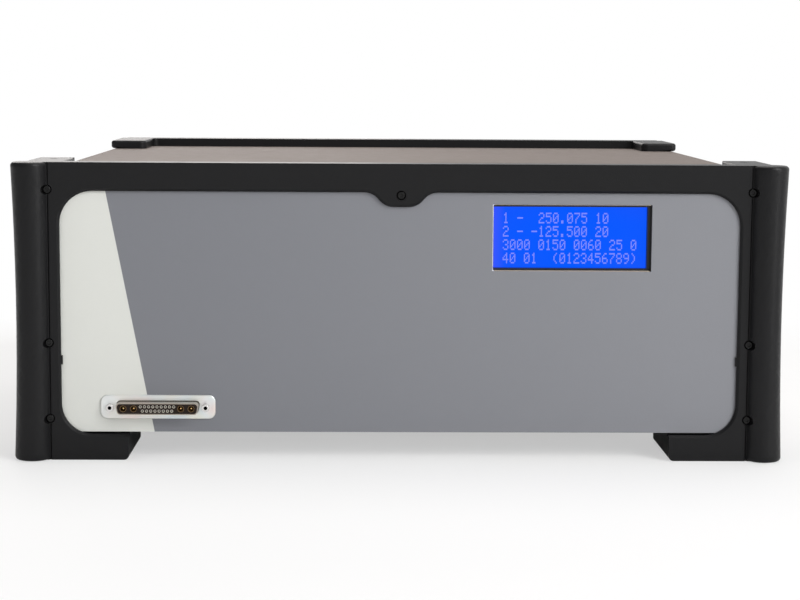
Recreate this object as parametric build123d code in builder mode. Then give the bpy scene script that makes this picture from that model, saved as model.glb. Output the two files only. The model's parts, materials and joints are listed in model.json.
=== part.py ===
from build123d import *

import os
from math import atan2, cos, degrees, pi, radians, sin, sqrt

# A benchtop potentiostat in a 4 unit rack chassis: a moulded front bezel with two
# round columns, a printed front panel with a display and the cell connector, a
# folded cover on a folded tray, and a moulded rear frame round the rear panel.
# Millimetres. +Z is up, the front faces -Y, and the origin is on the surface that
# the feet stand on, below the middle of the overall box.

# Rack standard
rack_width = 482.6
rack_hole_spacing = 465.1
rack_unit = 44.45
chassis_units = 4

# Chassis body
body_width = 447.0
body_length = 308.8
ground_clearance = 18.6
cover_sheet = 1.2
tray_sheet = 1.5
sheet_fit = 0.1
bend_radius = 1.4

# Front bezel
column_proud = 8.0
column_radius_end = 12.6
column_radius_waist = 11.1
column_end_round = 2.6
crease_groove_radius = 0.9
bezel_wall = 3.2
bezel_side_depth = 68.0
bezel_side_wall = 3.5
bezel_skirt = 1.6
bezel_skirt_depth = 20.0
bezel_fit = 0.2
lug_width = 23.7
lug_thickness = 3.0
lug_dimple_radius = 3.0
lug_dimple_depth = 0.8
lug_dimple_setback = 50.0
opening_half_width = 225.0
opening_top = 179.3
opening_radius_top = 22.0
opening_radius_bottom = 20.5
opening_bevel = 1.6
tab_z = 67.0
tab_height = 6.0
tab_reach = 1.0
drop_half_width = 24.5
drop_flat = 10.0
drop_depth = 9.6
foot_front_height = 17.2
foot_inner_x = 180.5
foot_front_lip = 7.0
foot_wall = 4.0
foot_rib = 2.5
foot_corner_radius = 3.4

# Screws of the bezel, on the rack's own hole pattern
bezel_screw_low = 27.8
bezel_screw_pitch_low = 50.8
bezel_screw_pitch_high = 101.6
bezel_screw_centre_height = 177.4

# Front panel
panel_thickness = 3.0
panel_height = 176.0
panel_corner = 3.0
panel_stud_radius = 1.5
panel_stud_length = 8.0

# Display window and module
window_width = 104.8
window_height = 43.4
window_x = 113.6
window_z = 149.5
glass_width = 102.4
glass_height = 41.0
glass_offset = -0.9
display_recess = 8.0
display_frame_margin = 7.0
display_frame_depth = 9.0
display_glass_thickness = 1.8
display_board_side = 15.8
display_board_end = 10.5
display_board_thickness = 1.6

# Cell connector: a D shell with seventeen small contacts and four coaxial ones
cell_x = -161.0
cell_z = 35.5
cell_plate_width = 76.2
cell_plate_height = 16.0
cell_plate_radius = 4.5
cell_plate_thickness = 1.5
cell_screw_spacing = 63.5
cell_shell_width = 55.3
cell_shell_height = 7.9
cell_shell_wall = 0.7
cell_shell_proud = 8.0
cell_shell_slope = 10.0
cell_flange_width = 69.3
cell_flange_height = 12.5
cell_flange_thickness = 1.0
cell_rear_depth = 8.0
contact_pitch = 2.76
contact_row_pitch = 2.84
contact_radius = 0.75
coax_pitch = 6.86
coax_first = 15.6
coax_radius = 2.3
coax_wall = 0.5
coax_pin_radius = 0.6

# Rear panel and rear frame
rear_panel_thickness = 2.0
rear_frame_depth = 20.0
rear_frame_rim = 6.4
rear_frame_side_proud = 1.1
rear_frame_bar = 11.0
rear_opening_radius = 10.0
rear_lug_width = 27.6
rear_lug_reach = 53.0
rear_foot_width = 44.0

# Fan
fan_x = 70.0
fan_z = 108.0
fan_size = 92.0
fan_depth = 25.0
fan_screw_spacing = 82.5
fan_bore_radius = 44.0
fan_hub_radius = 17.0
fan_blades = 7
fan_tip_clearance = 1.5
fan_shaft_radius = 1.5
running_clearance = 0.05
guard_wire_radius = 0.9

# Power inlet module
inlet_x = 172.0
inlet_z = 98.0
inlet_flange_width = 50.0
inlet_flange_height = 82.0
inlet_flange_thickness = 2.5
inlet_body_width = 44.0
inlet_body_height = 76.0
inlet_body_depth = 30.0
socket_width = 24.6
socket_height = 16.6
socket_depth = 16.0
socket_drop = 22.0
drawer_width = 30.0
drawer_height = 13.0
drawer_depth = 24.0
drawer_rise = 5.0
drawer_fit = 0.2
rocker_length = 20.0
rocker_height = 12.6
rocker_rise = 26.0
rocker_fit = 0.4
rocker_tilt = 10.0
rocker_pin_radius = 1.0
fuse_radius = 2.6
fuse_length = 20.0

# Sockets of the rear panel
bnc_columns = 3
bnc_rows = 2
bnc_pitch_x = 40.0
bnc_pitch_z = 46.0
bnc_x = -150.0
bnc_z = 110.0
bnc_thread_radius = 4.8
bnc_barrel_radius = 4.83
bnc_barrel_length = 11.0
bnc_flange_radius = 7.5
bnc_flange_thickness = 2.5
aux_x = -75.0
aux_shell_width = 16.9
aux_screw_spacing = 25.0
usb_x = -25.0
usb_width = 12.0
usb_height = 10.8
usb_length = 16.0
post_x = 122.0
post_z = 48.0
post_radius = 3.0
post_bore_radius = 2.05
post_bore_depth = 12.0
post_length = 16.5
post_flange_radius = 6.5
post_flange_thickness = 2.0
post_collar_thickness = 2.0
post_nut_radius = 6.5
post_nut_length = 9.0
post_nut_flutes = 12

# Boards and power parts inside
board_thickness = 1.6
standoff_height = 8.0
standoff_across = 5.5
main_board_left = -210.0
main_board_right = 2.0
main_board_front = 72.0
main_board_arm_back = 142.0
heatsink_x = 32.0
heatsink_base = 8.0
heatsink_fin = 50.0
heatsink_fin_thickness = 2.0
heatsink_fin_pitch = 8.0
heatsink_fins = 12
heatsink_front = 150.0
heatsink_length = 125.0
transformer_x = 135.0
transformer_setback = 105.0
transformer_radius = 56.0
transformer_hole = 18.0
transformer_height = 52.0
capacitor_radius = 15.0
capacitor_height = 45.0

# Smaller fastener and fitting sizes
screw_fit = 0.2
bezel_screw_radius = 1.5
bezel_screw_length = 8.0
bezel_screw_head_radius = 2.85
bezel_screw_head_height = 1.65
bezel_counterbore_radius = 3.3
bezel_counterbore_depth = 2.0
window_bevel = 0.6
jackscrew_radius = 1.4
jackscrew_hole_radius = 1.1
jackscrew_hole_depth = 6.0
jackscrew_across = 4.8
jackscrew_head = 4.5
jackscrew_tail = 2.4
cell_plate_bevel = 0.4
insulator_recess = 0.4
contact_recess = 0.6
contact_tail = 2.5
coax_floor = 1.0
coax_pin_recess = 1.5
stud_nut_across = 5.5
stud_nut_thickness = 2.4
stud_inset = 18.5
stud_middle_x = 60.0
stud_right_x = 30.0
stud_low_share = 0.235
stud_high_share = 0.803
display_glass_lap = 1.5
display_hole_inset = 4.0
board_hole_radius = 1.6
tray_flange_height = 22.0
tray_wall_height = 172.0
tray_lip_height = 8.0
cover_screw_radius = 1.5
cover_screw_head = 2.9
cover_head_fit = 0.05
cover_screw_length = 7.0
cover_screw_rise = 12.0
vent_setback = 130.0
vent_height = 62.0
vent_pitch = 9.0
vent_count = 10
vent_slot_length = 42.0
vent_slot_width = 3.2
rear_panel_height = 174.0
rear_corner_radius = 6.0
rear_lug_blend = 6.0
rear_opening_bottom = 27.0
rear_opening_top = 190.0
rear_bevel = 1.4
frame_screw_radius = 1.5
frame_screw_heights = (34.0, 108.0, 183.0)
frame_screw_shift = 1.1
frame_counterbore_radius = 3.1
frame_counterbore_depth = 3.0
frame_screw_head_radius = 2.75
frame_screw_head_height = 1.65
fan_screw_radius = 1.9
fan_screw_length = 12.0
fan_screw_head_radius = 3.6
fan_screw_head_height = 2.2
fan_corner_radius = 5.0
fan_strut_width = 5.0
hub_disc_thickness = 3.0
fan_tube_radius = 4.0
fan_tube_setback = 4.0
fan_shaft_gap = 0.3
rotor_setback = 1.0
rotor_cup_depth = 19.0
rotor_wall = 1.5
blade_root_twist = 48.0
blade_tip_twist = 62.0
blade_root_chord = 18.0
blade_tip_chord = 20.0
blade_thickness = 1.4
guard_rings = (10.0, 20.0, 30.0, 40.0)
guard_eye_radius = 3.2
socket_corner = 4.5
rocker_pivot_depth = 2.0
rocker_well_depth = 12.0
rocker_pin_reach = 2.0
rocker_skirt = 5.0
rocker_crown = 3.2
rocker_dish = 1.6
inlet_pin_root = 3.0
inlet_pin_length = 13.0
inlet_pin_width = 2.0
inlet_pin_height = 4.0
inlet_pin_pitch = 7.0
inlet_pin_step = 2.0
drawer_lip = 1.0
drawer_lip_thickness = 1.6
drawer_wall = 1.2
bnc_nut_thickness = 2.4
bnc_nut_across = 14.0
bnc_bore_radius = 4.0
bnc_stud_setback = 4.0
bnc_stud_reach = 1.0
bnc_stud_width = 2.0
bnc_insulator_base = 4.0
bnc_insulator_radius = 2.4
bnc_pin_radius = 1.1
aux_rise = 4.95
aux_proud = 5.5
aux_rear = 12.0
aux_flange_width = 30.8
usb_proud = 0.8
usb_mouth_width = 8.45
usb_mouth_height = 7.8
usb_mouth_corner = 1.6
usb_mouth_depth = 11.0
usb_tongue_width = 5.6
usb_tongue_height = 3.2
post_tail = 6.0
post_gap = 0.1
post_locknut_across = 10.0
post_locknut_thickness = 3.0
post_flute_radius = 0.9
main_board_rear = 310.0
supply_left = 106.0
supply_right = 204.0
supply_front = 178.0
supply_back = 276.0
board_hole_inset = 6.0
board_screw_head = 2.7
board_screw_height = 2.0
shield_x = -150.0
shield_setback = 150.0
shield_width = 90.0
shield_length = 70.0
shield_height = 16.0
shield_sheet = 0.6
relay_x = -60.0
relay_setback = 180.0
relay_pitch_x = 22.0
relay_pitch_y = 18.0
relay_width = 15.0
relay_length = 9.0
relay_height = 10.0
ribbon_thickness = 1.0
ribbon_header_height = 8.0
cell_ribbon_width = 44.0
display_ribbon_inset = 16.3
display_ribbon_width = 14.0
heatsink_height = 110.0
transistor_pitch = 19.0
transistor_count = 6
transistor_width = 15.6
transistor_height = 20.0
transistor_thickness = 5.0
amplifier_gap = 16.0
transformer_pad = 2.5
transformer_round = 12.0
transformer_clamp_sheet = 2.0
transformer_bolt_radius = 3.0
capacitor_pitch = 46.0

# Levels and distances that follow from the sizes above
body_height = chassis_units * rack_unit
body_top = ground_clearance + body_height
bezel_height = body_top + bezel_fit + bezel_skirt
panel_front = bezel_wall
panel_back = panel_front + panel_thickness
body_front = panel_back
body_back = body_front + body_length
frame_back = body_back + rear_frame_depth
rear_panel_front = body_back - rear_panel_thickness
face_y = column_proud - (column_proud + frame_back) / 2
side_x = body_width / 2 + bezel_fit + lug_width
crease_x = rack_hole_spacing / 2
tray_half = body_width / 2 - cover_sheet - sheet_fit
tray_floor = ground_clearance + tray_sheet
tray_wall_front = body_front
cover_screw_setbacks = (100.0, 190.0, 280.0)
board_bottom = tray_floor + standoff_height
glass_x = window_x + glass_offset
display_board_width = glass_width + 2 * display_board_side
display_board_height = glass_height + 2 * display_board_end
display_ribbon_x = glass_x - display_board_width / 2 + display_ribbon_inset
main_board_arm = display_ribbon_x + display_ribbon_width / 2 + 3
stud_side_x = body_width / 2 - stud_inset
stud_low = ground_clearance + panel_height * stud_low_share
stud_high = ground_clearance + panel_height * stud_high_share
stud_places = [(x, z) for x in (-stud_side_x, -stud_middle_x, stud_side_x) for z in (stud_low, stud_high)]
stud_places += [(stud_right_x, stud_low)]
board_top = board_bottom + board_thickness
bezel_screw_heights = (
    bezel_screw_low,
    bezel_screw_low + bezel_screw_pitch_low,
    bezel_screw_low + bezel_screw_pitch_low + bezel_screw_pitch_high,
)
bezel_screw_places = [(crease_x, z) for z in bezel_screw_heights]
bezel_screw_places += [(-crease_x, z) for z in bezel_screw_heights]
bezel_screw_places += [(0, bezel_screw_centre_height)]


def behind(depth):
    """World Y of a place this far behind the flat face of the bezel."""
    return face_y + depth


def upright(depth):
    """Upright plane this far behind the bezel's face: local x is X, local y is Z."""
    return Plane.XZ.offset(-behind(depth))


def crosswise(x):
    """Upright plane across X: local x is Y, local y is Z."""
    return Plane.YZ.offset(x)


def level(z):
    """Level plane at a height."""
    return Plane.XY.offset(z)


cover_screw_places = [(behind(d), ground_clearance + cover_screw_rise) for d in cover_screw_setbacks]
finished = []


def keep(builder, name):
    """Label a finished piece and remember it for writing."""
    builder.part.label = name
    finished.append(builder.part)


# Front bezel
column_centre_end = crease_x + sqrt(column_radius_end**2 - (column_radius_end - column_proud) ** 2)
overall_half_width = column_centre_end + column_radius_end
drop_angle = 2 * atan2(drop_depth, drop_half_width - drop_flat / 2)
drop_radius = (drop_half_width - drop_flat / 2) / (2 * sin(drop_angle))

with BuildPart() as front_bezel:
    with BuildSketch(upright(0)) as face_sketch:
        with BuildLine():
            Polyline((0, opening_top - drop_depth), (0, bezel_height), (side_x, bezel_height), (side_x, 0),
                     (foot_inner_x, 0), (foot_inner_x, foot_front_height),
                     (opening_half_width - opening_radius_bottom, foot_front_height))
            JernArc((opening_half_width - opening_radius_bottom, foot_front_height), (1, 0),
                    opening_radius_bottom, 90)
            Line((opening_half_width, foot_front_height + opening_radius_bottom),
                 (opening_half_width, opening_top - opening_radius_top))
            JernArc((opening_half_width, opening_top - opening_radius_top), (0, 1), opening_radius_top, 90)
            Line((opening_half_width - opening_radius_top, opening_top), (drop_half_width, opening_top))
            shoulder = JernArc((drop_half_width, opening_top), (-1, 0), drop_radius, degrees(drop_angle))
            JernArc(shoulder @ 1, shoulder % 1, drop_radius, -degrees(drop_angle))
            Line((drop_flat / 2, opening_top - drop_depth), (0, opening_top - drop_depth))
        make_face()
    extrude(amount=-bezel_wall)
    # The bevel round the opening, along the drop and on top of the foot
    rim = front_bezel.edges().filter_by_position(Axis.Y, behind(0) - 0.01, behind(0) + 0.01)
    rim = rim.filter_by(lambda e: e.center().X < opening_half_width + 0.1 and 0.1 < e.center().X)
    rim = rim.filter_by(lambda e: foot_front_height - 0.1 < e.center().Z < opening_top + 0.1)
    chamfer(rim, opening_bevel)
    # Side wall, skirt over the body, lug and foot
    with BuildSketch(level(0)) as wall_sketch:
        with Locations((side_x, behind(0))):
            Rectangle(bezel_side_wall, bezel_side_depth, align=(Align.MAX, Align.MIN))
    extrude(amount=bezel_height)
    with BuildSketch(level(bezel_height)) as skirt_sketch:
        with Locations((side_x, behind(0))):
            Rectangle(side_x, bezel_skirt_depth, align=(Align.MAX, Align.MIN))
    extrude(amount=-bezel_skirt)
    with BuildSketch(level(bezel_height)) as lug_sketch:
        with Locations((side_x, behind(0))):
            Rectangle(lug_width, bezel_side_depth, align=(Align.MAX, Align.MIN))
    extrude(amount=-lug_thickness)
    with BuildSketch(level(0)) as foot_sketch:
        with Locations((side_x, behind(foot_front_lip))):
            Rectangle(side_x - foot_inner_x, bezel_side_depth - foot_front_lip, align=(Align.MAX, Align.MIN))
    extrude(amount=ground_clearance)
    with BuildSketch(level(0)) as foot_front_sketch:
        with Locations((side_x, behind(0))):
            Rectangle(side_x - foot_inner_x, foot_front_lip, align=(Align.MAX, Align.MIN))
    extrude(amount=foot_front_height - opening_bevel)
    # The round column, slimmer at its waist
    stations = (0, bezel_height / 2, bezel_height)
    radii = (column_radius_end, column_radius_waist, column_radius_end)
    for station, radius in zip(stations, radii):
        setback = radius - column_proud
        centre = crease_x + sqrt(radius**2 - setback**2)
        root = sqrt(radius**2 - (centre - side_x) ** 2)
        with BuildSketch(level(station)):
            with BuildLine():
                ThreePointArc((crease_x, behind(0)), (centre, behind(-column_proud)),
                              (centre + radius, behind(setback)))
                ThreePointArc((centre + radius, behind(setback)),
                              (centre + radius * cos(radians(40)), behind(setback + radius * sin(radians(40)))),
                              (side_x - 0.5, behind(setback + root)))
                Polyline((side_x - 0.5, behind(setback + root)), (side_x - bezel_side_wall, behind(setback + root)),
                         (side_x - bezel_side_wall, behind(bezel_wall / 2)), (crease_x + 3, behind(bezel_wall / 2)),
                         (crease_x, behind(0)))
            make_face()
    loft()
    mirror(about=Plane.YZ)
    # Rounded ends of the columns, and a groove where each meets the flat face
    ends = front_bezel.edges().filter_by(lambda e: e.bounding_box().size.Z < 0.01)
    ends = ends.filter_by(lambda e: abs(e.center().X) > crease_x and e.center().Y < behind(column_radius_end))
    ends = ends.filter_by(lambda e: e.geom_type != GeomType.LINE)
    fillet(ends, column_end_round)
    with BuildSketch(level(0)) as groove_sketch:
        with Locations((crease_x, behind(0)), (-crease_x, behind(0))):
            Circle(crease_groove_radius)
    extrude(amount=bezel_height, mode=Mode.SUBTRACT)
    # Underside of each foot, cored out between ribs
    pocket_length = (bezel_side_depth - 3 * foot_wall) / 2
    pocket_width = (side_x - foot_inner_x - 2 * foot_wall - foot_rib) / 2
    with BuildSketch(level(0)) as pocket_sketch:
        for side in (-1, 1):
            with Locations((side * (side_x + foot_inner_x) / 2, behind(bezel_side_depth / 2 + foot_wall / 2))):
                with GridLocations(pocket_width + foot_rib, pocket_length, 2, 2):
                    Rectangle(pocket_width, pocket_length - foot_rib)
    extrude(amount=ground_clearance - foot_wall, mode=Mode.SUBTRACT)
    # Rounded inner corner of each foot
    toes = front_bezel.edges().filter_by(Axis.Y)
    toes = toes.filter_by(lambda e: e.center().Z < 0.01 and abs(abs(e.center().X) - foot_inner_x) < 0.01)
    fillet(toes, foot_corner_radius)
    # Dimple on each lug, where the foot of a unit stacked above rests
    dimple_ball = (lug_dimple_radius**2 + lug_dimple_depth**2) / (2 * lug_dimple_depth)
    lug_middle = side_x - lug_width / 2
    for side in (-1, 1):
        with Locations((side * lug_middle, behind(lug_dimple_setback), bezel_height + dimple_ball - lug_dimple_depth)):
            Sphere(dimple_ball, mode=Mode.SUBTRACT)
    # Small tabs at the sides of the opening
    with BuildSketch(upright(bezel_wall)) as tab_sketch:
        with Locations((opening_half_width, tab_z), (-opening_half_width, tab_z)):
            Rectangle(2 * tab_reach, tab_height)
    extrude(amount=bezel_wall - opening_bevel)
    # Counterbored screw holes
    with Locations(upright(0)):
        with Locations(*[(x, z) for x, z in bezel_screw_places]):
            CounterBoreHole(bezel_screw_radius + screw_fit, bezel_counterbore_radius, bezel_counterbore_depth,
                            depth=bezel_wall + panel_thickness)

keep(front_bezel, "front_bezel")


def button_screw(plane, places, radius, length, head_radius, head_height, socket=True):
    """Button head screws whose heads stand out of a plane, shanks going the other way."""
    with BuildPart() as screws:
        for place in places:
            with BuildSketch(plane):
                with Locations(place):
                    Circle(head_radius)
            extrude(amount=head_height)
        crowns = screws.faces().group_by(Axis(plane.origin, plane.z_dir))[-1].edges()
        chamfer(crowns, head_height * 0.4)
        for place in places:
            with BuildSketch(plane):
                with Locations(place):
                    Circle(radius)
            extrude(amount=-length)
        if socket:
            with BuildSketch(plane.offset(head_height)):
                with Locations(*places):
                    RegularPolygon(head_radius * 0.45, 6)
            extrude(amount=-head_height * 0.6, mode=Mode.SUBTRACT)
    return screws


bezel_screws = button_screw(upright(bezel_counterbore_depth), bezel_screw_places, bezel_screw_radius,
                            bezel_screw_length, bezel_screw_head_radius, bezel_screw_head_height)
keep(bezel_screws, "bezel_screws")


# Cell connector outlines
def d_outline(width, height, slope):
    """D shaped outline, wider at the top, centred."""
    lean = height / 2 * sin(radians(slope)) / cos(radians(slope))
    Polygon((-width / 2, height / 2), (width / 2, height / 2), (width / 2 - 2 * lean, -height / 2),
            (-width / 2 + 2 * lean, -height / 2), align=None)


def d_shell(plane, place, width, height, wall, proud, rear, flange_size, flange_thickness, holes):
    """Pressed D shell with its flange on a plane, its open end in front and a can behind."""
    with BuildPart() as shell:
        with BuildSketch(plane):
            with Locations(place):
                RectangleRounded(*flange_size, flange_size[1] * 0.16)
        extrude(amount=-flange_thickness)
        with BuildSketch(plane) as outer:
            with Locations(place):
                d_outline(width, height, cell_shell_slope)
            fillet(outer.vertices(), height * 0.3)
        extrude(amount=proud)
        with BuildSketch(plane.offset(-flange_thickness)):
            with Locations(place):
                Rectangle(width - 2.0, height + 2.0)
        extrude(amount=-rear)
        with BuildSketch(plane.offset(proud)) as inner:
            with Locations(place):
                d_outline(width - 2 * wall, height - 2 * wall, cell_shell_slope)
            fillet(inner.vertices(), height * 0.3 - wall / 2)
        extrude(amount=-(proud + flange_thickness + rear), mode=Mode.SUBTRACT)
        with BuildSketch(plane):
            with Locations(*holes):
                Circle(jackscrew_radius + screw_fit)
        extrude(amount=-flange_thickness, mode=Mode.SUBTRACT)
    return shell


def d_insulator(plane, place, width, height, wall, front, rear, recess, bores):
    """Moulded insert that fills a D shell, a little below its rim, bored for its contacts."""
    with BuildPart() as insert:
        with BuildSketch(plane.offset(front - recess)) as outline:
            with Locations(place):
                d_outline(width - 2 * wall, height - 2 * wall, cell_shell_slope)
            fillet(outline.vertices(), height * 0.3 - wall / 2)
            for radius, places in bores:
                with Locations(*places):
                    Circle(radius, mode=Mode.SUBTRACT)
        extrude(amount=-(front - recess + rear))
    return insert


def jackscrews(plane, places, across, head, length):
    """Hexagonal jackscrews with a threaded hole in the head, one corner upwards."""
    with BuildPart() as screws:
        with BuildSketch(plane):
            with Locations(*places):
                RegularPolygon(across / 2, 6, major_radius=False, rotation=90)
        extrude(amount=head)
        with BuildSketch(plane):
            with Locations(*places):
                Circle(jackscrew_radius)
        extrude(amount=-length)
        with BuildSketch(plane.offset(head)):
            with Locations(*places):
                Circle(jackscrew_hole_radius)
        extrude(amount=-jackscrew_hole_depth, mode=Mode.SUBTRACT)
    return screws


cell_places = [(cell_x - cell_screw_spacing / 2, cell_z), (cell_x + cell_screw_spacing / 2, cell_z)]
cell_plate_front = panel_front - cell_plate_thickness
cell_flange = upright(panel_back)
cell_reach = panel_back - cell_plate_front + cell_shell_proud
cell_cut_width = cell_shell_width + 2.0
cell_cut_height = cell_shell_height + 2.0
signal_places = [(cell_x + (i - 4) * contact_pitch, cell_z + contact_row_pitch / 2) for i in range(9)]
signal_places += [(cell_x + (i - 3.5) * contact_pitch, cell_z - contact_row_pitch / 2) for i in range(8)]
coax_places = [(cell_x + side * (coax_first + i * coax_pitch), cell_z) for side in (-1, 1) for i in range(2)]

# Front panel
with BuildPart() as front_panel:
    with BuildSketch(upright(panel_front)):
        with Locations((0, ground_clearance + panel_height / 2)):
            RectangleRounded(rack_width, panel_height, panel_corner)
        with Locations((window_x, window_z)):
            Rectangle(window_width, window_height, mode=Mode.SUBTRACT)
        with Locations((cell_x, cell_z)):
            Rectangle(cell_cut_width, cell_cut_height, mode=Mode.SUBTRACT)
        with Locations(*cell_places):
            Circle(jackscrew_radius + screw_fit, mode=Mode.SUBTRACT)
        with Locations(*bezel_screw_places):
            Circle(bezel_screw_radius + running_clearance, mode=Mode.SUBTRACT)
    extrude(amount=-panel_thickness)
    window_edges = front_panel.edges().filter_by_position(Axis.Y, behind(panel_front) - 0.01, behind(panel_front) + 0.01)
    window_edges = window_edges.filter_by(
        lambda e: abs(e.center().X - window_x) < window_width / 2 + 0.1
        and abs(e.center().Z - window_z) < window_height / 2 + 0.1)
    chamfer(window_edges, window_bevel)
    with BuildSketch(upright(panel_back)):
        with Locations(*stud_places):
            Circle(panel_stud_radius)
    extrude(amount=-panel_stud_length)
keep(front_panel, "front_panel")

with BuildPart() as panel_nuts:
    with BuildSketch(upright(tray_wall_front + tray_sheet)):
        with Locations(*stud_places):
            RegularPolygon(stud_nut_across / 2, 6, major_radius=False)
        with Locations(*stud_places):
            Circle(panel_stud_radius + running_clearance, mode=Mode.SUBTRACT)
    extrude(amount=-stud_nut_thickness)
keep(panel_nuts, "panel_nuts")

# Display module behind the window
glass_front = panel_front + display_recess
display_frame_front = panel_back
display_frame_width = glass_width + 2 * display_frame_margin
display_frame_height = glass_height + 2 * display_frame_margin
display_board_front = display_frame_front + display_frame_depth
display_hole_places = [
    (glass_x + sx * (display_board_width / 2 - display_hole_inset), window_z + sz * (display_board_height / 2 - display_hole_inset))
    for sx in (-1, 1) for sz in (-1, 1)
]
with BuildPart() as display_frame:
    with BuildSketch(upright(display_frame_front)):
        with Locations((glass_x, window_z)):
            Rectangle(display_frame_width, display_frame_height)
    extrude(amount=-display_frame_depth)
    with BuildSketch(upright(display_frame_front)):
        with Locations((glass_x, window_z)):
            Rectangle(glass_width, glass_height)
    extrude(amount=-(glass_front - display_frame_front), mode=Mode.SUBTRACT)
    with BuildSketch(upright(glass_front)):
        with Locations((glass_x, window_z)):
            Rectangle(glass_width + 2 * display_glass_lap, glass_height + 2 * display_glass_lap)
    extrude(amount=-(display_board_front - glass_front), mode=Mode.SUBTRACT)
keep(display_frame, "display_frame")

with BuildPart() as display_glass:
    with BuildSketch(upright(glass_front)):
        with Locations((glass_x, window_z)):
            Rectangle(glass_width + 2 * display_glass_lap, glass_height + 2 * display_glass_lap)
    extrude(amount=-(display_board_front - glass_front))
keep(display_glass, "display_glass")

with BuildPart() as display_board:
    with BuildSketch(upright(display_board_front)):
        with Locations((glass_x, window_z)):
            Rectangle(display_board_width, display_board_height)
        with Locations(*display_hole_places):
            Circle(board_hole_radius, mode=Mode.SUBTRACT)
    extrude(amount=-display_board_thickness)
keep(display_board, "display_board")

with BuildPart() as display_spacers:
    with BuildSketch(upright(panel_back)):
        with Locations(*display_hole_places):
            RegularPolygon(standoff_across / 2, 6, major_radius=False)
    extrude(amount=-display_frame_depth)
keep(display_spacers, "display_spacers")

# Cell connector
with BuildPart() as connector_plate:
    with BuildSketch(upright(panel_front)):
        with Locations((cell_x, cell_z)):
            RectangleRounded(cell_plate_width, cell_plate_height, cell_plate_radius)
    extrude(amount=cell_plate_thickness)
    with BuildSketch(upright(panel_front)) as plate_cut:
        with Locations((cell_x, cell_z)):
            d_outline(cell_shell_width + 0.6, cell_shell_height + 0.6, cell_shell_slope)
        fillet(plate_cut.vertices(), cell_shell_height * 0.3)
        with Locations(*cell_places):
            Circle(jackscrew_radius + screw_fit)
    extrude(amount=cell_plate_thickness, mode=Mode.SUBTRACT)
    rim_edges = connector_plate.faces().sort_by(Axis.Y)[0].outer_wire().edges()
    chamfer(rim_edges, cell_plate_bevel)
keep(connector_plate, "connector_plate")

cell_shell = d_shell(cell_flange, (cell_x, cell_z), cell_shell_width, cell_shell_height, cell_shell_wall, cell_reach,
                     cell_rear_depth, (cell_flange_width, cell_flange_height), cell_flange_thickness, cell_places)
keep(cell_shell, "cell_shell")

cell_insulator = d_insulator(cell_flange, (cell_x, cell_z), cell_shell_width, cell_shell_height, cell_shell_wall,
                             cell_reach, cell_flange_thickness + cell_rear_depth, insulator_recess,
                             [(contact_radius, signal_places), (coax_radius, coax_places)])
keep(cell_insulator, "cell_insulator")

contact_front = cell_reach - insulator_recess - contact_recess
contact_length = contact_front + cell_flange_thickness + cell_rear_depth + contact_tail
with BuildPart() as cell_contacts:
    with BuildSketch(cell_flange.offset(contact_front)):
        with Locations(*signal_places):
            Circle(contact_radius)
    extrude(amount=-contact_length)
keep(cell_contacts, "cell_contacts")

with BuildPart() as coax_sleeves:
    with BuildSketch(cell_flange.offset(contact_front)):
        with Locations(*coax_places):
            Circle(coax_radius)
            Circle(coax_radius - coax_wall, mode=Mode.SUBTRACT)
    extrude(amount=-contact_length)
    with BuildSketch(cell_flange.offset(contact_front - contact_length)):
        with Locations(*coax_places):
            Circle(coax_radius)
    extrude(amount=coax_floor)
keep(coax_sleeves, "coax_sleeves")

with BuildPart() as coax_pins:
    with BuildSketch(cell_flange.offset(contact_front - contact_length + coax_floor)):
        with Locations(*coax_places):
            Circle(coax_pin_radius)
    extrude(amount=contact_length - coax_floor - coax_pin_recess)
keep(coax_pins, "coax_pins")

cell_jackscrews = jackscrews(upright(cell_plate_front), cell_places, jackscrew_across, jackscrew_head,
                             panel_back + cell_flange_thickness + jackscrew_tail - cell_plate_front)
keep(cell_jackscrews, "cell_jackscrews")

# Folded tray: floor, side flanges, front wall and a low rear lip
tray_back = rear_panel_front
with BuildPart() as chassis_tray:
    with BuildSketch(upright(body_front)) as tray_section:
        with Locations((0, ground_clearance)):
            Rectangle(2 * tray_half, tray_flange_height, align=(Align.CENTER, Align.MIN))
        fillet(tray_section.vertices().group_by(Axis.Y)[0], bend_radius + tray_sheet)
        with BuildSketch(upright(body_front), mode=Mode.SUBTRACT) as tray_inside:
            with Locations((0, tray_floor)):
                Rectangle(2 * (tray_half - tray_sheet), tray_flange_height, align=(Align.CENTER, Align.MIN))
            fillet(tray_inside.vertices().group_by(Axis.Y)[0], bend_radius)
    extrude(amount=-(tray_back - body_front))
    with BuildSketch(upright(body_front)):
        with Locations((0, tray_floor)):
            Rectangle(2 * (tray_half - tray_sheet - bend_radius), tray_wall_height, align=(Align.CENTER, Align.MIN))
        with Locations((glass_x, window_z)):
            Rectangle(display_board_width + 4, display_board_height + 4, mode=Mode.SUBTRACT)
        with Locations((cell_x, cell_z)):
            Rectangle(cell_flange_width + 4, cell_flange_height + 4, mode=Mode.SUBTRACT)
        with Locations(*stud_places):
            Circle(panel_stud_radius + screw_fit, mode=Mode.SUBTRACT)
        with Locations((0, bezel_screw_centre_height)):
            Circle(bezel_screw_radius + screw_fit, mode=Mode.SUBTRACT)
    extrude(amount=-tray_sheet)
    with BuildSketch(upright(tray_back)):
        with Locations((0, tray_floor)):
            Rectangle(2 * (tray_half - tray_sheet - bend_radius), tray_lip_height, align=(Align.CENTER, Align.MIN))
    extrude(amount=tray_sheet)
    for side in (-1, 1):
        with BuildSketch(crosswise(side * tray_half)):
            with Locations(*cover_screw_places):
                Circle(cover_screw_radius + running_clearance)
        extrude(amount=-side * tray_sheet, mode=Mode.SUBTRACT)
keep(chassis_tray, "chassis_tray")

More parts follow.
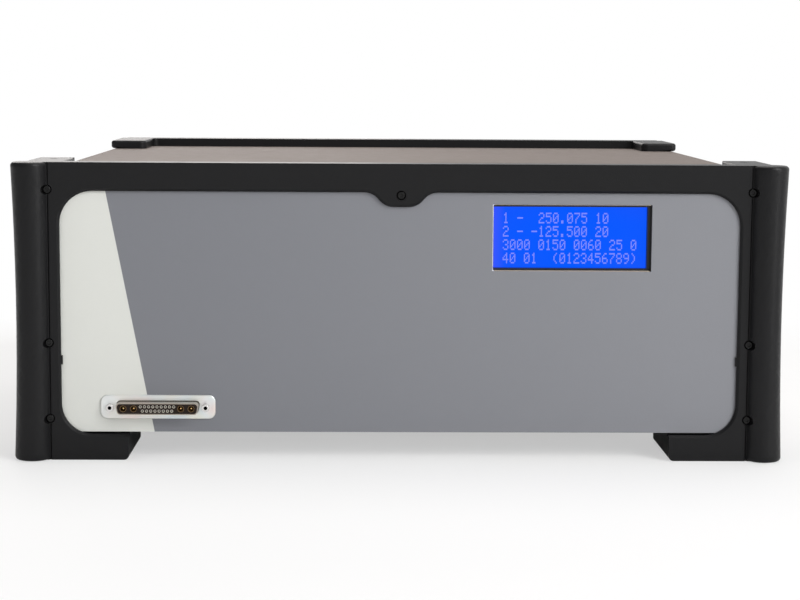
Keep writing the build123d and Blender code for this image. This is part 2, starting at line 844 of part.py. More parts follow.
# Folded cover over the top and sides, with air slots low in each side
with BuildPart() as top_cover:
    with BuildSketch(upright(body_front)) as cover_section:
        with Locations((0, ground_clearance)):
            Rectangle(body_width, body_height, align=(Align.CENTER, Align.MIN))
        fillet(cover_section.vertices().group_by(Axis.Y)[-1], bend_radius + cover_sheet)
        with BuildSketch(upright(body_front), mode=Mode.SUBTRACT) as cover_inside:
            with Locations((0, ground_clearance)):
                Rectangle(body_width - 2 * cover_sheet, body_height - cover_sheet, align=(Align.CENTER, Align.MIN))
            fillet(cover_inside.vertices().group_by(Axis.Y)[-1], bend_radius)
    extrude(amount=-body_length)
    with BuildSketch(crosswise(body_width / 2)):
        with Locations((behind(vent_setback), vent_height)):
            with GridLocations(vent_pitch, 0, vent_count, 1):
                SlotOverall(vent_slot_length, vent_slot_width, rotation=90)
    extrude(amount=-body_width, mode=Mode.SUBTRACT)
    for side in (-1, 1):
        with Locations(Plane(origin=(side * body_width / 2, 0, 0), x_dir=(0, 1, 0), z_dir=(side, 0, 0))):
            with Locations(*[(place[0], side * place[1]) for place in cover_screw_places]):
                CounterSinkHole(cover_screw_radius + screw_fit, cover_screw_head, depth=cover_sheet * 2)
keep(top_cover, "top_cover")

with BuildPart() as cover_screws:
    for side in (-1, 1):
        for place in cover_screw_places:
            with Locations(Location((side * body_width / 2, place[0], place[1]), (0, side * 90, 0))):
                Cone(cover_screw_radius, cover_screw_head - cover_head_fit, cover_sheet, align=(Align.CENTER, Align.CENTER, Align.MAX))
                Cylinder(cover_screw_radius, cover_screw_length, align=(Align.CENTER, Align.CENTER, Align.MAX))
keep(cover_screws, "cover_screws")

# Rear panel and what is let into it
fan_screw_places = [(fan_x + sx * fan_screw_spacing / 2, fan_z + sz * fan_screw_spacing / 2)
                    for sx in (-1, 1) for sz in (-1, 1)]
frame_screw_x = body_width / 2 + rear_frame_side_proud - rear_frame_bar / 2 - frame_screw_shift
frame_screw_places = [(side * frame_screw_x, z) for side in (-1, 1) for z in frame_screw_heights]
bnc_places = [(bnc_x + (i - (bnc_columns - 1) / 2) * bnc_pitch_x, bnc_z + (j - (bnc_rows - 1) / 2) * bnc_pitch_z)
              for i in range(bnc_columns) for j in range(bnc_rows)]
aux_z = board_top + aux_rise
aux_places = [(aux_x - aux_screw_spacing / 2, aux_z), (aux_x + aux_screw_spacing / 2, aux_z)]
usb_z = board_top + usb_height / 2
with BuildPart() as rear_panel:
    with BuildSketch(upright(rear_panel_front)):
        with Locations((0, tray_floor)):
            Rectangle(2 * (tray_half - tray_sheet), rear_panel_height, align=(Align.CENTER, Align.MIN))
        with Locations((fan_x, fan_z)):
            Circle(fan_bore_radius, mode=Mode.SUBTRACT)
        with Locations(*fan_screw_places):
            Circle(fan_screw_radius + screw_fit, mode=Mode.SUBTRACT)
        with Locations((inlet_x, inlet_z)):
            Rectangle(inlet_body_width + 0.6, inlet_body_height + 0.6, mode=Mode.SUBTRACT)
        with Locations(*bnc_places):
            Circle(bnc_thread_radius + screw_fit, mode=Mode.SUBTRACT)
        with Locations((aux_x, aux_z)):
            Rectangle(aux_shell_width + 2, cell_shell_height + 2, mode=Mode.SUBTRACT)
        with Locations(*aux_places):
            Circle(jackscrew_radius + screw_fit, mode=Mode.SUBTRACT)
        with Locations((usb_x, usb_z)):
            Rectangle(usb_width + 1, usb_height + 1, mode=Mode.SUBTRACT)
        with Locations((post_x, post_z)):
            Circle(post_radius + screw_fit, mode=Mode.SUBTRACT)
        with Locations(*frame_screw_places):
            Circle(frame_screw_radius + running_clearance, mode=Mode.SUBTRACT)
    extrude(amount=-rear_panel_thickness)
keep(rear_panel, "rear_panel")

# Moulded rear frame with its lugs and feet
frame_half = body_width / 2 + rear_frame_side_proud
frame_bottom = ground_clearance - rear_frame_rim
frame_top = body_top + rear_frame_rim
with BuildPart() as rear_frame:
    with BuildSketch(upright(body_back)):
        with Locations((0, (frame_bottom + frame_top) / 2)):
            RectangleRounded(2 * frame_half, frame_top - frame_bottom, rear_corner_radius)
    extrude(amount=-rear_frame_depth)
    for side in (-1, 1):
        with BuildSketch(level(frame_top)) as rear_lug_sketch:
            with BuildLine():
                outer = side * frame_half
                inner = side * (frame_half - rear_lug_width)
                blend = side * (frame_half - rear_lug_width - rear_lug_blend)
                front = behind(body_back - rear_lug_reach)
                seat = behind(body_back + rear_frame_depth / 2)
                FilletPolyline((outer, seat), (outer, front), (inner, front), (inner, behind(body_back)),
                               (blend, behind(body_back)), (blend, seat), radius=(4, 5, rear_lug_blend * 0.8, 0.5))
                Line((blend, seat), (outer, seat))
            make_face()
        extrude(amount=-(rear_frame_rim - bezel_fit))
        with BuildSketch(level(0)) as rear_foot_sketch:
            with Locations((side * frame_half, behind(frame_back))):
                Rectangle(rear_foot_width, rear_frame_depth + rear_lug_reach,
                          align=(Align.MAX if side > 0 else Align.MIN, Align.MAX))
            fillet(rear_foot_sketch.vertices().group_by(Axis.Y)[0], foot_corner_radius)
        extrude(amount=ground_clearance)
    with BuildSketch(upright(frame_back)):
        with Locations((0, (rear_opening_bottom + rear_opening_top) / 2)):
            RectangleRounded(2 * (frame_half - rear_frame_bar), rear_opening_top - rear_opening_bottom,
                             rear_opening_radius)
    extrude(amount=rear_frame_depth, mode=Mode.SUBTRACT)
    back_edges = rear_frame.edges().filter_by_position(Axis.Y, behind(frame_back) - 0.01, behind(frame_back) + 0.01)
    chamfer(back_edges, rear_bevel)
    for side in (-1, 1):
        with BuildSketch(level(0)):
            with Locations((side * (frame_half - rear_foot_width / 2),
                            behind(frame_back) - (rear_frame_depth + rear_lug_reach) / 2)):
                with GridLocations((rear_foot_width - foot_wall) / 2, (rear_frame_depth + rear_lug_reach - foot_wall) / 2, 2, 2):
                    Rectangle((rear_foot_width - foot_wall) / 2 - foot_wall, (rear_frame_depth + rear_lug_reach - foot_wall) / 2 - foot_wall)
        extrude(amount=frame_bottom - foot_wall / 2, mode=Mode.SUBTRACT)
    with Locations(Plane(origin=(0, behind(frame_back), 0), x_dir=(-1, 0, 0), z_dir=(0, 1, 0))):
        with Locations(*frame_screw_places):
            CounterBoreHole(frame_screw_radius + screw_fit, frame_counterbore_radius, frame_counterbore_depth,
                            depth=rear_frame_depth)
keep(rear_frame, "rear_frame")

rear_view = Plane(origin=(0, behind(frame_back - frame_counterbore_depth), 0), x_dir=(-1, 0, 0), z_dir=(0, 1, 0))
frame_screws = button_screw(rear_view, frame_screw_places, frame_screw_radius,
                            rear_frame_depth - frame_counterbore_depth + rear_panel_thickness + 3,
                            frame_screw_head_radius, frame_screw_head_height, socket=False)
keep(frame_screws, "frame_screws")

# Cooling fan on the inside of the rear panel
fan_front = rear_panel_front - fan_depth
hub_disc_front = rear_panel_front - hub_disc_thickness
with BuildPart() as fan_frame:
    with BuildSketch(upright(fan_front)):
        with Locations((fan_x, fan_z)):
            RectangleRounded(fan_size, fan_size, fan_corner_radius)
            Circle(fan_bore_radius, mode=Mode.SUBTRACT)
        with Locations(*fan_screw_places):
            Circle(fan_screw_radius + running_clearance, mode=Mode.SUBTRACT)
    extrude(amount=-fan_depth)
    with BuildSketch(upright(hub_disc_front)):
        with Locations((fan_x, fan_z)):
            Circle(fan_hub_radius)
            with PolarLocations(fan_bore_radius / 2 + fan_hub_radius / 2, 4):
                Rectangle(fan_bore_radius - fan_hub_radius + 2, fan_strut_width)
    extrude(amount=-hub_disc_thickness)
    with BuildSketch(upright(fan_front + fan_tube_setback)):
        with Locations((fan_x, fan_z)):
            Circle(fan_tube_radius)
    extrude(amount=-(hub_disc_front - fan_front - fan_tube_setback))
    with BuildSketch(upright(fan_front + fan_tube_setback)):
        with Locations((fan_x, fan_z)):
            Circle(fan_shaft_radius + running_clearance)
    extrude(amount=-(hub_disc_front - fan_front - fan_tube_setback), mode=Mode.SUBTRACT)
keep(fan_frame, "fan_frame")

rotor_front = fan_front + rotor_setback
with BuildPart() as fan_rotor:
    with BuildSketch(upright(rotor_front)):
        with Locations((fan_x, fan_z)):
            Circle(fan_hub_radius)
    extrude(amount=-rotor_cup_depth)
    with BuildSketch(upright(rotor_front + rotor_wall)):
        with Locations((fan_x, fan_z)):
            Circle(fan_hub_radius - rotor_wall)
    extrude(amount=-rotor_cup_depth, mode=Mode.SUBTRACT)
    with BuildSketch(upright(rotor_front)):
        with Locations((fan_x, fan_z)):
            Circle(fan_shaft_radius)
    extrude(amount=-(hub_disc_front - rotor_front - fan_shaft_gap))
    blade_tip = fan_bore_radius - fan_tip_clearance
    for blade in range(fan_blades):
        turn = 360 / fan_blades * blade
        root_plane = Plane(origin=(fan_x, behind(rotor_front + rotor_cup_depth / 2), fan_z), x_dir=(0, 1, 0),
                           z_dir=(sin(radians(turn)), 0, cos(radians(turn))))
        with BuildSketch(root_plane.offset(fan_hub_radius - rotor_wall / 2)):
            with Locations(Location((0, 0), 90 + blade_root_twist)):
                SlotOverall(blade_root_chord, blade_thickness)
        with BuildSketch(root_plane.offset(blade_tip)):
            with Locations(Location((0, 0), 90 + blade_tip_twist)):
                SlotOverall(blade_tip_chord, blade_thickness)
        loft()
keep(fan_rotor, "fan_rotor")

# Wire guard over the fan, on the outside of the panel
guard_level = body_back + guard_wire_radius
with BuildPart() as fan_guard:
    for ring in guard_rings:
        with BuildSketch(Plane(origin=(fan_x, behind(guard_level + guard_wire_radius), fan_z), x_dir=(1, 0, 0), z_dir=(0, 0, 1))):
            with Locations((ring, 0)):
                RegularPolygon(guard_wire_radius, 6)
        revolve(axis=Axis((fan_x, behind(guard_level), fan_z), (0, 1, 0)))
    for place in fan_screw_places:
        away = atan2(place[1] - fan_z, place[0] - fan_x)
        inner_end = (fan_x + guard_rings[0] * cos(away), fan_z + guard_rings[0] * sin(away))
        with BuildSketch(Plane(origin=(inner_end[0], behind(guard_level), inner_end[1]),
                               x_dir=(0, 1, 0), z_dir=(cos(away), 0, sin(away)))):
            RegularPolygon(guard_wire_radius, 6)
        extrude(amount=fan_screw_spacing / sqrt(2) - guard_rings[0] - guard_eye_radius)
    with BuildSketch(upright(body_back)):
        with Locations(*fan_screw_places):
            Circle(guard_eye_radius + guard_wire_radius)
            Circle(fan_screw_radius + screw_fit, mode=Mode.SUBTRACT)
    extrude(amount=-2 * guard_wire_radius)
keep(fan_guard, "fan_guard")

fan_screw_plane = Plane(origin=(0, behind(body_back + 2 * guard_wire_radius), 0), x_dir=(-1, 0, 0), z_dir=(0, 1, 0))
fan_screws = button_screw(fan_screw_plane, [(-x, z) for x, z in fan_screw_places], fan_screw_radius,
                          fan_screw_length, fan_screw_head_radius, fan_screw_head_height, socket=False)
keep(fan_screws, "fan_screws")

# Power inlet module: flange, body, and its three cavities opening backwards
inlet_face = body_back + inlet_flange_thickness
inlet_back_plane = upright(inlet_face)
socket_z = inlet_z - socket_drop
drawer_z = inlet_z + drawer_rise
rocker_z = inlet_z + rocker_rise
socket_floor = inlet_face - socket_depth
rocker_pivot = inlet_face - rocker_pivot_depth
pin_places = [(inlet_x - inlet_pin_pitch, socket_z - inlet_pin_step), (inlet_x, socket_z + inlet_pin_step),
              (inlet_x + inlet_pin_pitch, socket_z - inlet_pin_step)]
with BuildPart() as inlet_body:
    with BuildSketch(upright(body_back)):
        with Locations((inlet_x, inlet_z)):
            RectangleRounded(inlet_flange_width, inlet_flange_height, 2)
    extrude(amount=-inlet_flange_thickness)
    with BuildSketch(upright(body_back)):
        with Locations((inlet_x, inlet_z)):
            Rectangle(inlet_body_width, inlet_body_height)
    extrude(amount=inlet_body_depth)
    with BuildSketch(inlet_back_plane) as socket_sketch:
        with Locations((inlet_x, socket_z)):
            Rectangle(socket_width, socket_height)
        chamfer(socket_sketch.vertices().group_by(Axis.Y)[-1], socket_corner)
    extrude(amount=socket_depth, mode=Mode.SUBTRACT)
    with BuildSketch(inlet_back_plane):
        with Locations((inlet_x, drawer_z)):
            Rectangle(drawer_width + 2 * drawer_fit, drawer_height + 2 * drawer_fit)
    extrude(amount=drawer_depth + drawer_fit, mode=Mode.SUBTRACT)
    with BuildSketch(inlet_back_plane):
        with Locations((inlet_x, rocker_z)):
            Rectangle(rocker_length + 2 * rocker_fit, rocker_height + 2 * rocker_fit)
    extrude(amount=rocker_well_depth, mode=Mode.SUBTRACT)
    with BuildSketch(level(rocker_z - rocker_height / 2 - rocker_pin_reach)):
        with Locations((inlet_x, behind(rocker_pivot))):
            Circle(rocker_pin_radius + running_clearance)
    extrude(amount=rocker_height + 2 * rocker_pin_reach, mode=Mode.SUBTRACT)
    with BuildSketch(upright(socket_floor)):
        with Locations(*pin_places):
            Rectangle(inlet_pin_width, inlet_pin_height)
    extrude(amount=inlet_pin_root, mode=Mode.SUBTRACT)
keep(inlet_body, "inlet_body")

with BuildPart() as inlet_pins:
    with BuildSketch(upright(socket_floor - inlet_pin_root)):
        with Locations(*pin_places):
            Rectangle(inlet_pin_width, inlet_pin_height)
    extrude(amount=-(inlet_pin_root + inlet_pin_length))
    inlet_tips = inlet_pins.faces().sort_by(Axis.Y)[-3:].edges()
    chamfer(inlet_tips, inlet_pin_width * 0.25)
keep(inlet_pins, "inlet_pins")
# Rocker, at rest with its left end pressed in, turning about an upright pin
rocker_rest = Plane(origin=(inlet_x, behind(rocker_pivot), rocker_z), x_dir=(cos(radians(rocker_tilt)), -sin(radians(rocker_tilt)), 0),
                    z_dir=(0, 0, 1))
with BuildPart() as power_rocker:
    with BuildSketch(rocker_rest.offset(-rocker_height / 2)):
        with BuildLine():
            half = rocker_length / 2
            Polyline((-half + 1, -rocker_skirt), (half - 1, -rocker_skirt))
            ThreePointArc((half - 1, -rocker_skirt), (half, 0), (half - 0.4, rocker_crown))
            ThreePointArc((half - 0.4, rocker_crown), (0, rocker_crown - rocker_dish), (-half + 0.4, rocker_crown))
            ThreePointArc((-half + 0.4, rocker_crown), (-half, 0), (-half + 1, -rocker_skirt))
        make_face()
    extrude(amount=rocker_height)
    with BuildSketch(rocker_rest.offset(-rocker_height / 2 - rocker_pin_reach + 0.2)):
        Circle(rocker_pin_radius)
    extrude(amount=rocker_height + 2 * rocker_pin_reach - 0.4)
keep(power_rocker, "power_rocker")

# Fuse drawer with its lip, and the two fuses lying in it
drawer_front_end = inlet_face - drawer_depth
with BuildPart() as fuse_drawer:
    with BuildSketch(inlet_back_plane):
        with Locations((inlet_x, drawer_z)):
            Rectangle(drawer_width, drawer_height)
    extrude(amount=drawer_depth)
    with BuildSketch(inlet_back_plane):
        with Locations((inlet_x, drawer_z)):
            Rectangle(drawer_width + 2 * drawer_lip, drawer_height + 2 * drawer_lip)
    extrude(amount=-drawer_lip_thickness)
    with BuildSketch(upright(inlet_face + drawer_lip_thickness)):
        with Locations((inlet_x, drawer_z + drawer_height / 2 - 1)):
            Rectangle(drawer_width / 3, 2)
    extrude(amount=-1)
    with BuildSketch(level(drawer_z + drawer_height / 2)):
        with Locations((inlet_x, behind(inlet_face - drawer_depth / 2 - drawer_wall / 2))):
            with GridLocations(drawer_width / 2 - drawer_wall / 2, 0, 2, 1):
                Rectangle(2 * fuse_radius + 2 * drawer_fit, fuse_length + 2 * drawer_fit)
    extrude(amount=-(drawer_height / 2 + fuse_radius), mode=Mode.SUBTRACT)
keep(fuse_drawer, "fuse_drawer")

with BuildPart() as fuses:
    for side in (-1, 1):
        with BuildSketch(upright(inlet_face - drawer_depth / 2 - drawer_wall / 2 - fuse_length / 2)):
            with Locations((inlet_x + side * (drawer_width / 2 - drawer_wall / 2) / 2, drawer_z)):
                Circle(fuse_radius)
        extrude(amount=-fuse_length)
keep(fuses, "fuses")

# Coaxial measuring sockets in two rows
bnc_face = upright(body_back)
with BuildPart() as bnc_bodies:
    with BuildSketch(bnc_face):
        with Locations(*bnc_places):
            Circle(bnc_flange_radius)
    extrude(amount=-bnc_flange_thickness)
    with BuildSketch(upright(rear_panel_front - bnc_nut_thickness - 2)):
        with Locations(*bnc_places):
            Circle(bnc_thread_radius)
    extrude(amount=-(rear_panel_thickness + bnc_nut_thickness + 2 + bnc_flange_thickness + bnc_barrel_length))
    with BuildSketch(upright(body_back + bnc_flange_thickness + bnc_barrel_length)):
        with Locations(*bnc_places):
            Circle(bnc_bore_radius)
    extrude(amount=bnc_barrel_length + bnc_flange_thickness, mode=Mode.SUBTRACT)
    with BuildSketch(upright(body_back + bnc_flange_thickness + bnc_barrel_length - bnc_stud_setback)):
        with Locations(*bnc_places):
            with GridLocations(2 * bnc_barrel_radius, 0, 2, 1):
                Rectangle(2 * bnc_stud_reach, bnc_stud_width)
            Circle(bnc_bore_radius, mode=Mode.SUBTRACT)
    extrude(amount=-bnc_stud_width)
keep(bnc_bodies, "bnc_bodies")

with BuildPart() as bnc_insulators:
    with BuildSketch(bnc_face):
        with Locations(*bnc_places):
            Circle(bnc_bore_radius)
    extrude(amount=-bnc_insulator_base)
    with BuildSketch(bnc_face):
        with Locations(*bnc_places):
            Circle(bnc_insulator_radius)
    extrude(amount=-(bnc_flange_thickness + bnc_barrel_length - 1))
    with BuildSketch(bnc_face):
        with Locations(*bnc_places):
            Circle(bnc_pin_radius)
    extrude(amount=-(bnc_flange_thickness + bnc_barrel_length), mode=Mode.SUBTRACT)
keep(bnc_insulators, "bnc_insulators")

with BuildPart() as bnc_contacts:
    with BuildSketch(bnc_face):
        with Locations(*bnc_places):
            Circle(bnc_pin_radius)
    extrude(amount=-(bnc_flange_thickness + bnc_barrel_length - 2))
keep(bnc_contacts, "bnc_contacts")

with BuildPart() as bnc_nuts:
    with BuildSketch(upright(rear_panel_front)):
        with Locations(*bnc_places):
            RegularPolygon(bnc_nut_across / 2, 6, major_radius=False)
            Circle(bnc_thread_radius + running_clearance, mode=Mode.SUBTRACT)
    extrude(amount=bnc_nut_thickness)
keep(bnc_nuts, "bnc_nuts")

# Auxiliary nine way connector, on the edge of the main board
aux_back_plane = Plane(origin=(0, behind(rear_panel_front), 0), x_dir=(-1, 0, 0), z_dir=(0, 1, 0))
aux_reach = rear_panel_thickness + aux_proud
aux_shell = d_shell(aux_back_plane, (-aux_x, aux_z), aux_shell_width, cell_shell_height, cell_shell_wall, aux_reach, aux_rear,
                    (aux_flange_width, cell_flange_height), cell_flange_thickness, [(-x, z) for x, z in aux_places])
keep(aux_shell, "aux_shell")
aux_pins = [(-aux_x + (i - 2) * contact_pitch, aux_z + contact_row_pitch / 2) for i in range(5)]
aux_pins += [(-aux_x + (i - 1.5) * contact_pitch, aux_z - contact_row_pitch / 2) for i in range(4)]
aux_insulator = d_insulator(aux_back_plane, (-aux_x, aux_z), aux_shell_width, cell_shell_height, cell_shell_wall,
                            aux_reach, cell_flange_thickness + aux_rear, insulator_recess,
                            [(contact_radius, aux_pins)])
keep(aux_insulator, "aux_insulator")
aux_jackscrews = jackscrews(Plane(origin=(0, behind(body_back), 0), x_dir=(-1, 0, 0), z_dir=(0, 1, 0)),
                            [(-x, z) for x, z in aux_places], jackscrew_across, jackscrew_head,
                            rear_panel_thickness + cell_flange_thickness + 1)
keep(aux_jackscrews, "aux_jackscrews")

# Square communication socket on the main board
with BuildPart() as usb_shell:
    with BuildSketch(upright(body_back + usb_proud - usb_length)):
        with Locations((usb_x, usb_z)):
            Rectangle(usb_width, usb_height)
    extrude(amount=-usb_length)
    with BuildSketch(upright(body_back + usb_proud)) as usb_mouth:
        with Locations((usb_x, usb_z)):
            Rectangle(usb_mouth_width, usb_mouth_height)
        chamfer(usb_mouth.vertices().group_by(Axis.Y)[-1], usb_mouth_corner)
    extrude(amount=usb_mouth_depth, mode=Mode.SUBTRACT)
keep(usb_shell, "usb_shell")
with BuildPart() as usb_tongue:
    with BuildSketch(upright(body_back + usb_proud - usb_mouth_depth)):
        with Locations((usb_x, usb_z)):
            Rectangle(usb_tongue_width, usb_tongue_height)
    extrude(amount=-(usb_mouth_depth - 1))
keep(usb_tongue, "usb_tongue")

# Ground binding post: stem with a plug bore, sliding collar and fluted nut
with BuildPart() as ground_stem:
    with BuildSketch(upright(body_back)):
        with Locations((post_x, post_z)):
            Circle(post_flange_radius)
    extrude(amount=-post_flange_thickness)
    with BuildSketch(upright(rear_panel_front - post_tail)):
        with Locations((post_x, post_z)):
            Circle(post_radius)
    extrude(amount=-(post_tail + rear_panel_thickness + post_flange_thickness + post_length))
    with BuildSketch(upright(body_back + post_flange_thickness + post_length)):
        with Locations((post_x, post_z)):
            Circle(post_bore_radius)
    extrude(amount=post_bore_depth, mode=Mode.SUBTRACT)
keep(ground_stem, "ground_stem")
with BuildPart() as ground_locknut:
    with BuildSketch(upright(rear_panel_front)):
        with Locations((post_x, post_z)):
            RegularPolygon(post_locknut_across / 2, 6, major_radius=False)
            Circle(post_radius + running_clearance, mode=Mode.SUBTRACT)
    extrude(amount=post_locknut_thickness)
keep(ground_locknut, "ground_locknut")
collar_front = body_back + post_flange_thickness + post_gap
with BuildPart() as ground_collar:
    with BuildSketch(upright(collar_front)):
        with Locations((post_x, post_z)):
            Circle(post_flange_radius)
            Circle(post_radius + running_clearance, mode=Mode.SUBTRACT)
    extrude(amount=-post_collar_thickness)
keep(ground_collar, "ground_collar")
with BuildPart() as ground_nut:
    with BuildSketch(upright(collar_front + post_collar_thickness + post_gap)):
        with Locations((post_x, post_z)):
            Circle(post_nut_radius)
            with PolarLocations(post_nut_radius, post_nut_flutes):
                RegularPolygon(post_flute_radius, 6, mode=Mode.SUBTRACT)
            Circle(post_radius + running_clearance, mode=Mode.SUBTRACT)
    extrude(amount=-post_nut_length)
keep(ground_nut, "ground_nut")

# Boards, their spacers and their screws
board_places = [(main_board_left + board_hole_inset, main_board_front + board_hole_inset),
                (main_board_left + board_hole_inset, main_board_rear - 3 * board_hole_inset),
                (main_board_right - board_hole_inset, main_board_rear - 3 * board_hole_inset),
                (main_board_arm - board_hole_inset, main_board_front + board_hole_inset)]
supply_places = [(x, d) for x in (supply_left + board_hole_inset, supply_right - board_hole_inset)
                 for d in (supply_front + board_hole_inset, supply_back - board_hole_inset)]
standoff_places = [(x, behind(d)) for x, d in board_places + supply_places]
with BuildPart() as main_board:
    with BuildSketch(level(board_bottom)):
        with BuildLine():
            Polyline((main_board_left, behind(main_board_front)), (main_board_arm, behind(main_board_front)),
                     (main_board_arm, behind(main_board_arm_back)), (main_board_right, behind(main_board_arm_back)),
                     (main_board_right, behind(main_board_rear)), (main_board_left, behind(main_board_rear)), close=True)
        make_face()
        with Locations(*[(x, behind(d)) for x, d in board_places]):
            Circle(board_hole_radius, mode=Mode.SUBTRACT)
    extrude(amount=board_thickness)
keep(main_board, "main_board")
with BuildPart() as supply_board:
    with BuildSketch(level(board_bottom)):
        with Locations(((supply_left + supply_right) / 2, behind((supply_front + supply_back) / 2))):
            Rectangle(supply_right - supply_left, supply_back - supply_front)
        with Locations(*[(x, behind(d)) for x, d in supply_places]):
            Circle(board_hole_radius, mode=Mode.SUBTRACT)
    extrude(amount=board_thickness)
keep(supply_board, "supply_board")
with BuildPart() as board_standoffs:
    with BuildSketch(level(tray_floor)):
        with Locations(*standoff_places):
            RegularPolygon(standoff_across / 2, 6, major_radius=False)
    extrude(amount=standoff_height)
keep(board_standoffs, "board_standoffs")
with BuildPart() as board_screws:
    with BuildSketch(level(board_top)):
        with Locations(*standoff_places):
            Circle(board_screw_head)
    extrude(amount=board_screw_height)
keep(board_screws, "board_screws")
with BuildPart() as shield_can:
    with BuildSketch(level(board_top)):
        with Locations((shield_x, behind(shield_setback))):
            Rectangle(shield_width, shield_length)
    extrude(amount=shield_height)
    offset(amount=-shield_sheet, openings=shield_can.faces().sort_by(Axis.Z)[0])
keep(shield_can, "shield_can")
with BuildPart() as range_relays:
    with BuildSketch(level(board_top)):
        with Locations((relay_x, behind(relay_setback))):
            with GridLocations(relay_pitch_x, relay_pitch_y, 4, 2):
                Rectangle(relay_width, relay_length)
    extrude(amount=relay_height)
keep(range_relays, "range_relays")

# Ribbon cables to the cell connector and to the display
ribbon_half = ribbon_thickness / 2
with BuildPart() as cell_ribbon:
    cell_tail = panel_back + cell_flange_thickness + cell_rear_depth + contact_tail
    with BuildSketch(crosswise(cell_x - cell_ribbon_width / 2)) as cell_ribbon_sketch:
        with BuildLine() as cell_route:
            FilletPolyline((behind(cell_tail + ribbon_half), cell_z), (behind(cell_tail + 14), cell_z),
                           (behind(main_board_front + 4), board_top + ribbon_header_height / 2 ),
                           (behind(main_board_front + 16), board_top + ribbon_header_height / 2), radius=6)
            offset(amount=ribbon_half, side=Side.BOTH)
        make_face()
    extrude(amount=cell_ribbon_width)
    with BuildSketch(level(board_top)):
        with Locations((cell_x, behind(main_board_front + 16))):
            Rectangle(cell_ribbon_width + 4, 8)
    extrude(amount=ribbon_header_height)
keep(cell_ribbon, "cell_ribbon")
with BuildPart() as display_ribbon:
    display_tail = display_board_front + display_board_thickness
    display_tail_z = window_z - display_board_height / 2 + 4
    with BuildSketch(crosswise(display_ribbon_x - display_ribbon_width / 2)):
        with BuildLine():
            FilletPolyline((behind(display_tail + ribbon_half), display_tail_z), (behind(display_tail + 12), display_tail_z),
                           (behind(display_tail + 12), board_top + 22), (behind(main_board_front + 16), board_top + 22),
                           (behind(main_board_front + 16), board_top + ribbon_half), radius=(5, 8, 8))
            offset(amount=ribbon_half, side=Side.BOTH)
        make_face()
    extrude(amount=display_ribbon_width)
    with BuildSketch(level(board_top)):
        with Locations((display_ribbon_x, behind(main_board_front + 16))):
            Rectangle(display_ribbon_width + 4, 8)
    extrude(amount=ribbon_header_height)
    with BuildSketch(upright(display_tail)):
        with Locations((display_ribbon_x, display_tail_z)):
            Rectangle(display_ribbon_width + 4, 6)
    extrude(amount=-ribbon_header_height)
keep(display_ribbon, "display_ribbon")

# Power amplifier: finned heat sink, transistors clipped to it, and their board
with BuildPart() as heatsink:
    with BuildSketch(upright(heatsink_front)):
        with Locations((heatsink_x, tray_floor)):
            Rectangle(heatsink_base, heatsink_height, align=(Align.MIN, Align.MIN))
        with Locations((heatsink_x + heatsink_base, tray_floor + heatsink_height / 2)):
            with GridLocations(0, heatsink_fin_pitch, 1, heatsink_fins):
                Rectangle(2 * heatsink_fin, heatsink_fin_thickness)
        with Locations((heatsink_x, tray_floor)):
            Rectangle(2 * heatsink_fin, heatsink_height, align=(Align.MAX, Align.MIN), mode=Mode.SUBTRACT)
    extrude(amount=-heatsink_length)
keep(heatsink, "heatsink")
transistor_z = tray_floor + heatsink_height * 0.45
with BuildPart() as power_transistors:
    with BuildSketch(crosswise(heatsink_x)):
        with Locations((behind(heatsink_front + heatsink_length / 2), transistor_z)):
            with GridLocations(transistor_pitch, 0, transistor_count, 1):
                Rectangle(transistor_width, transistor_height)
    extrude(amount=-transistor_thickness)
keep(power_transistors, "power_transistors")
amplifier_board_x = heatsink_x - amplifier_gap
with BuildPart() as amplifier_spacers:
    with BuildSketch(crosswise(heatsink_x)):
        with Locations((behind(heatsink_front + heatsink_length / 2), tray_floor + heatsink_height / 2)):
            with GridLocations(heatsink_length - 12, heatsink_height - 24, 2, 2):
                RegularPolygon(standoff_across / 2, 6, major_radius=False)
    extrude(amount=-amplifier_gap)
keep(amplifier_spacers, "amplifier_spacers")
with BuildPart() as amplifier_board:
    with BuildSketch(crosswise(amplifier_board_x)):
        with Locations((behind(heatsink_front + heatsink_length / 2), tray_floor + heatsink_height / 2)):
            Rectangle(heatsink_length, heatsink_height - 12)
    extrude(amount=-board_thickness)
keep(amplifier_board, "amplifier_board")

# Toroidal transformer between two pads, held down by a dished clamp and its bolt
pad_top = tray_floor + transformer_pad
with BuildPart() as transformer:
    with BuildSketch(Plane.XZ.offset(-behind(transformer_setback))) as winding_section:
        with Locations((transformer_x + transformer_hole, pad_top)):
            Rectangle(transformer_radius - transformer_hole, transformer_height, align=(Align.MIN, Align.MIN))
        chamfer(winding_section.vertices(), transformer_round * 0.6)
    revolve(axis=Axis((transformer_x, behind(transformer_setback), 0), (0, 0, 1)))
keep(transformer, "transformer")
with BuildPart() as transformer_pads:
    for pad_level in (tray_floor, pad_top + transformer_height):
        with BuildSketch(level(pad_level)):
            with Locations((transformer_x, behind(transformer_setback))):
                Circle(transformer_radius - transformer_round)
                Circle(transformer_bolt_radius + screw_fit, mode=Mode.SUBTRACT)
        extrude(amount=transformer_pad)
keep(transformer_pads, "transformer_pads")
clamp_level = pad_top + transformer_height + transformer_pad
with BuildPart() as transformer_clamp:
    with BuildSketch(level(clamp_level)):
        with Locations((transformer_x, behind(transformer_setback))):
            Circle(transformer_radius * 0.62)
            Circle(transformer_bolt_radius + screw_fit, mode=Mode.SUBTRACT)
    extrude(amount=transformer_clamp_sheet)
keep(transformer_clamp, "transformer_clamp")
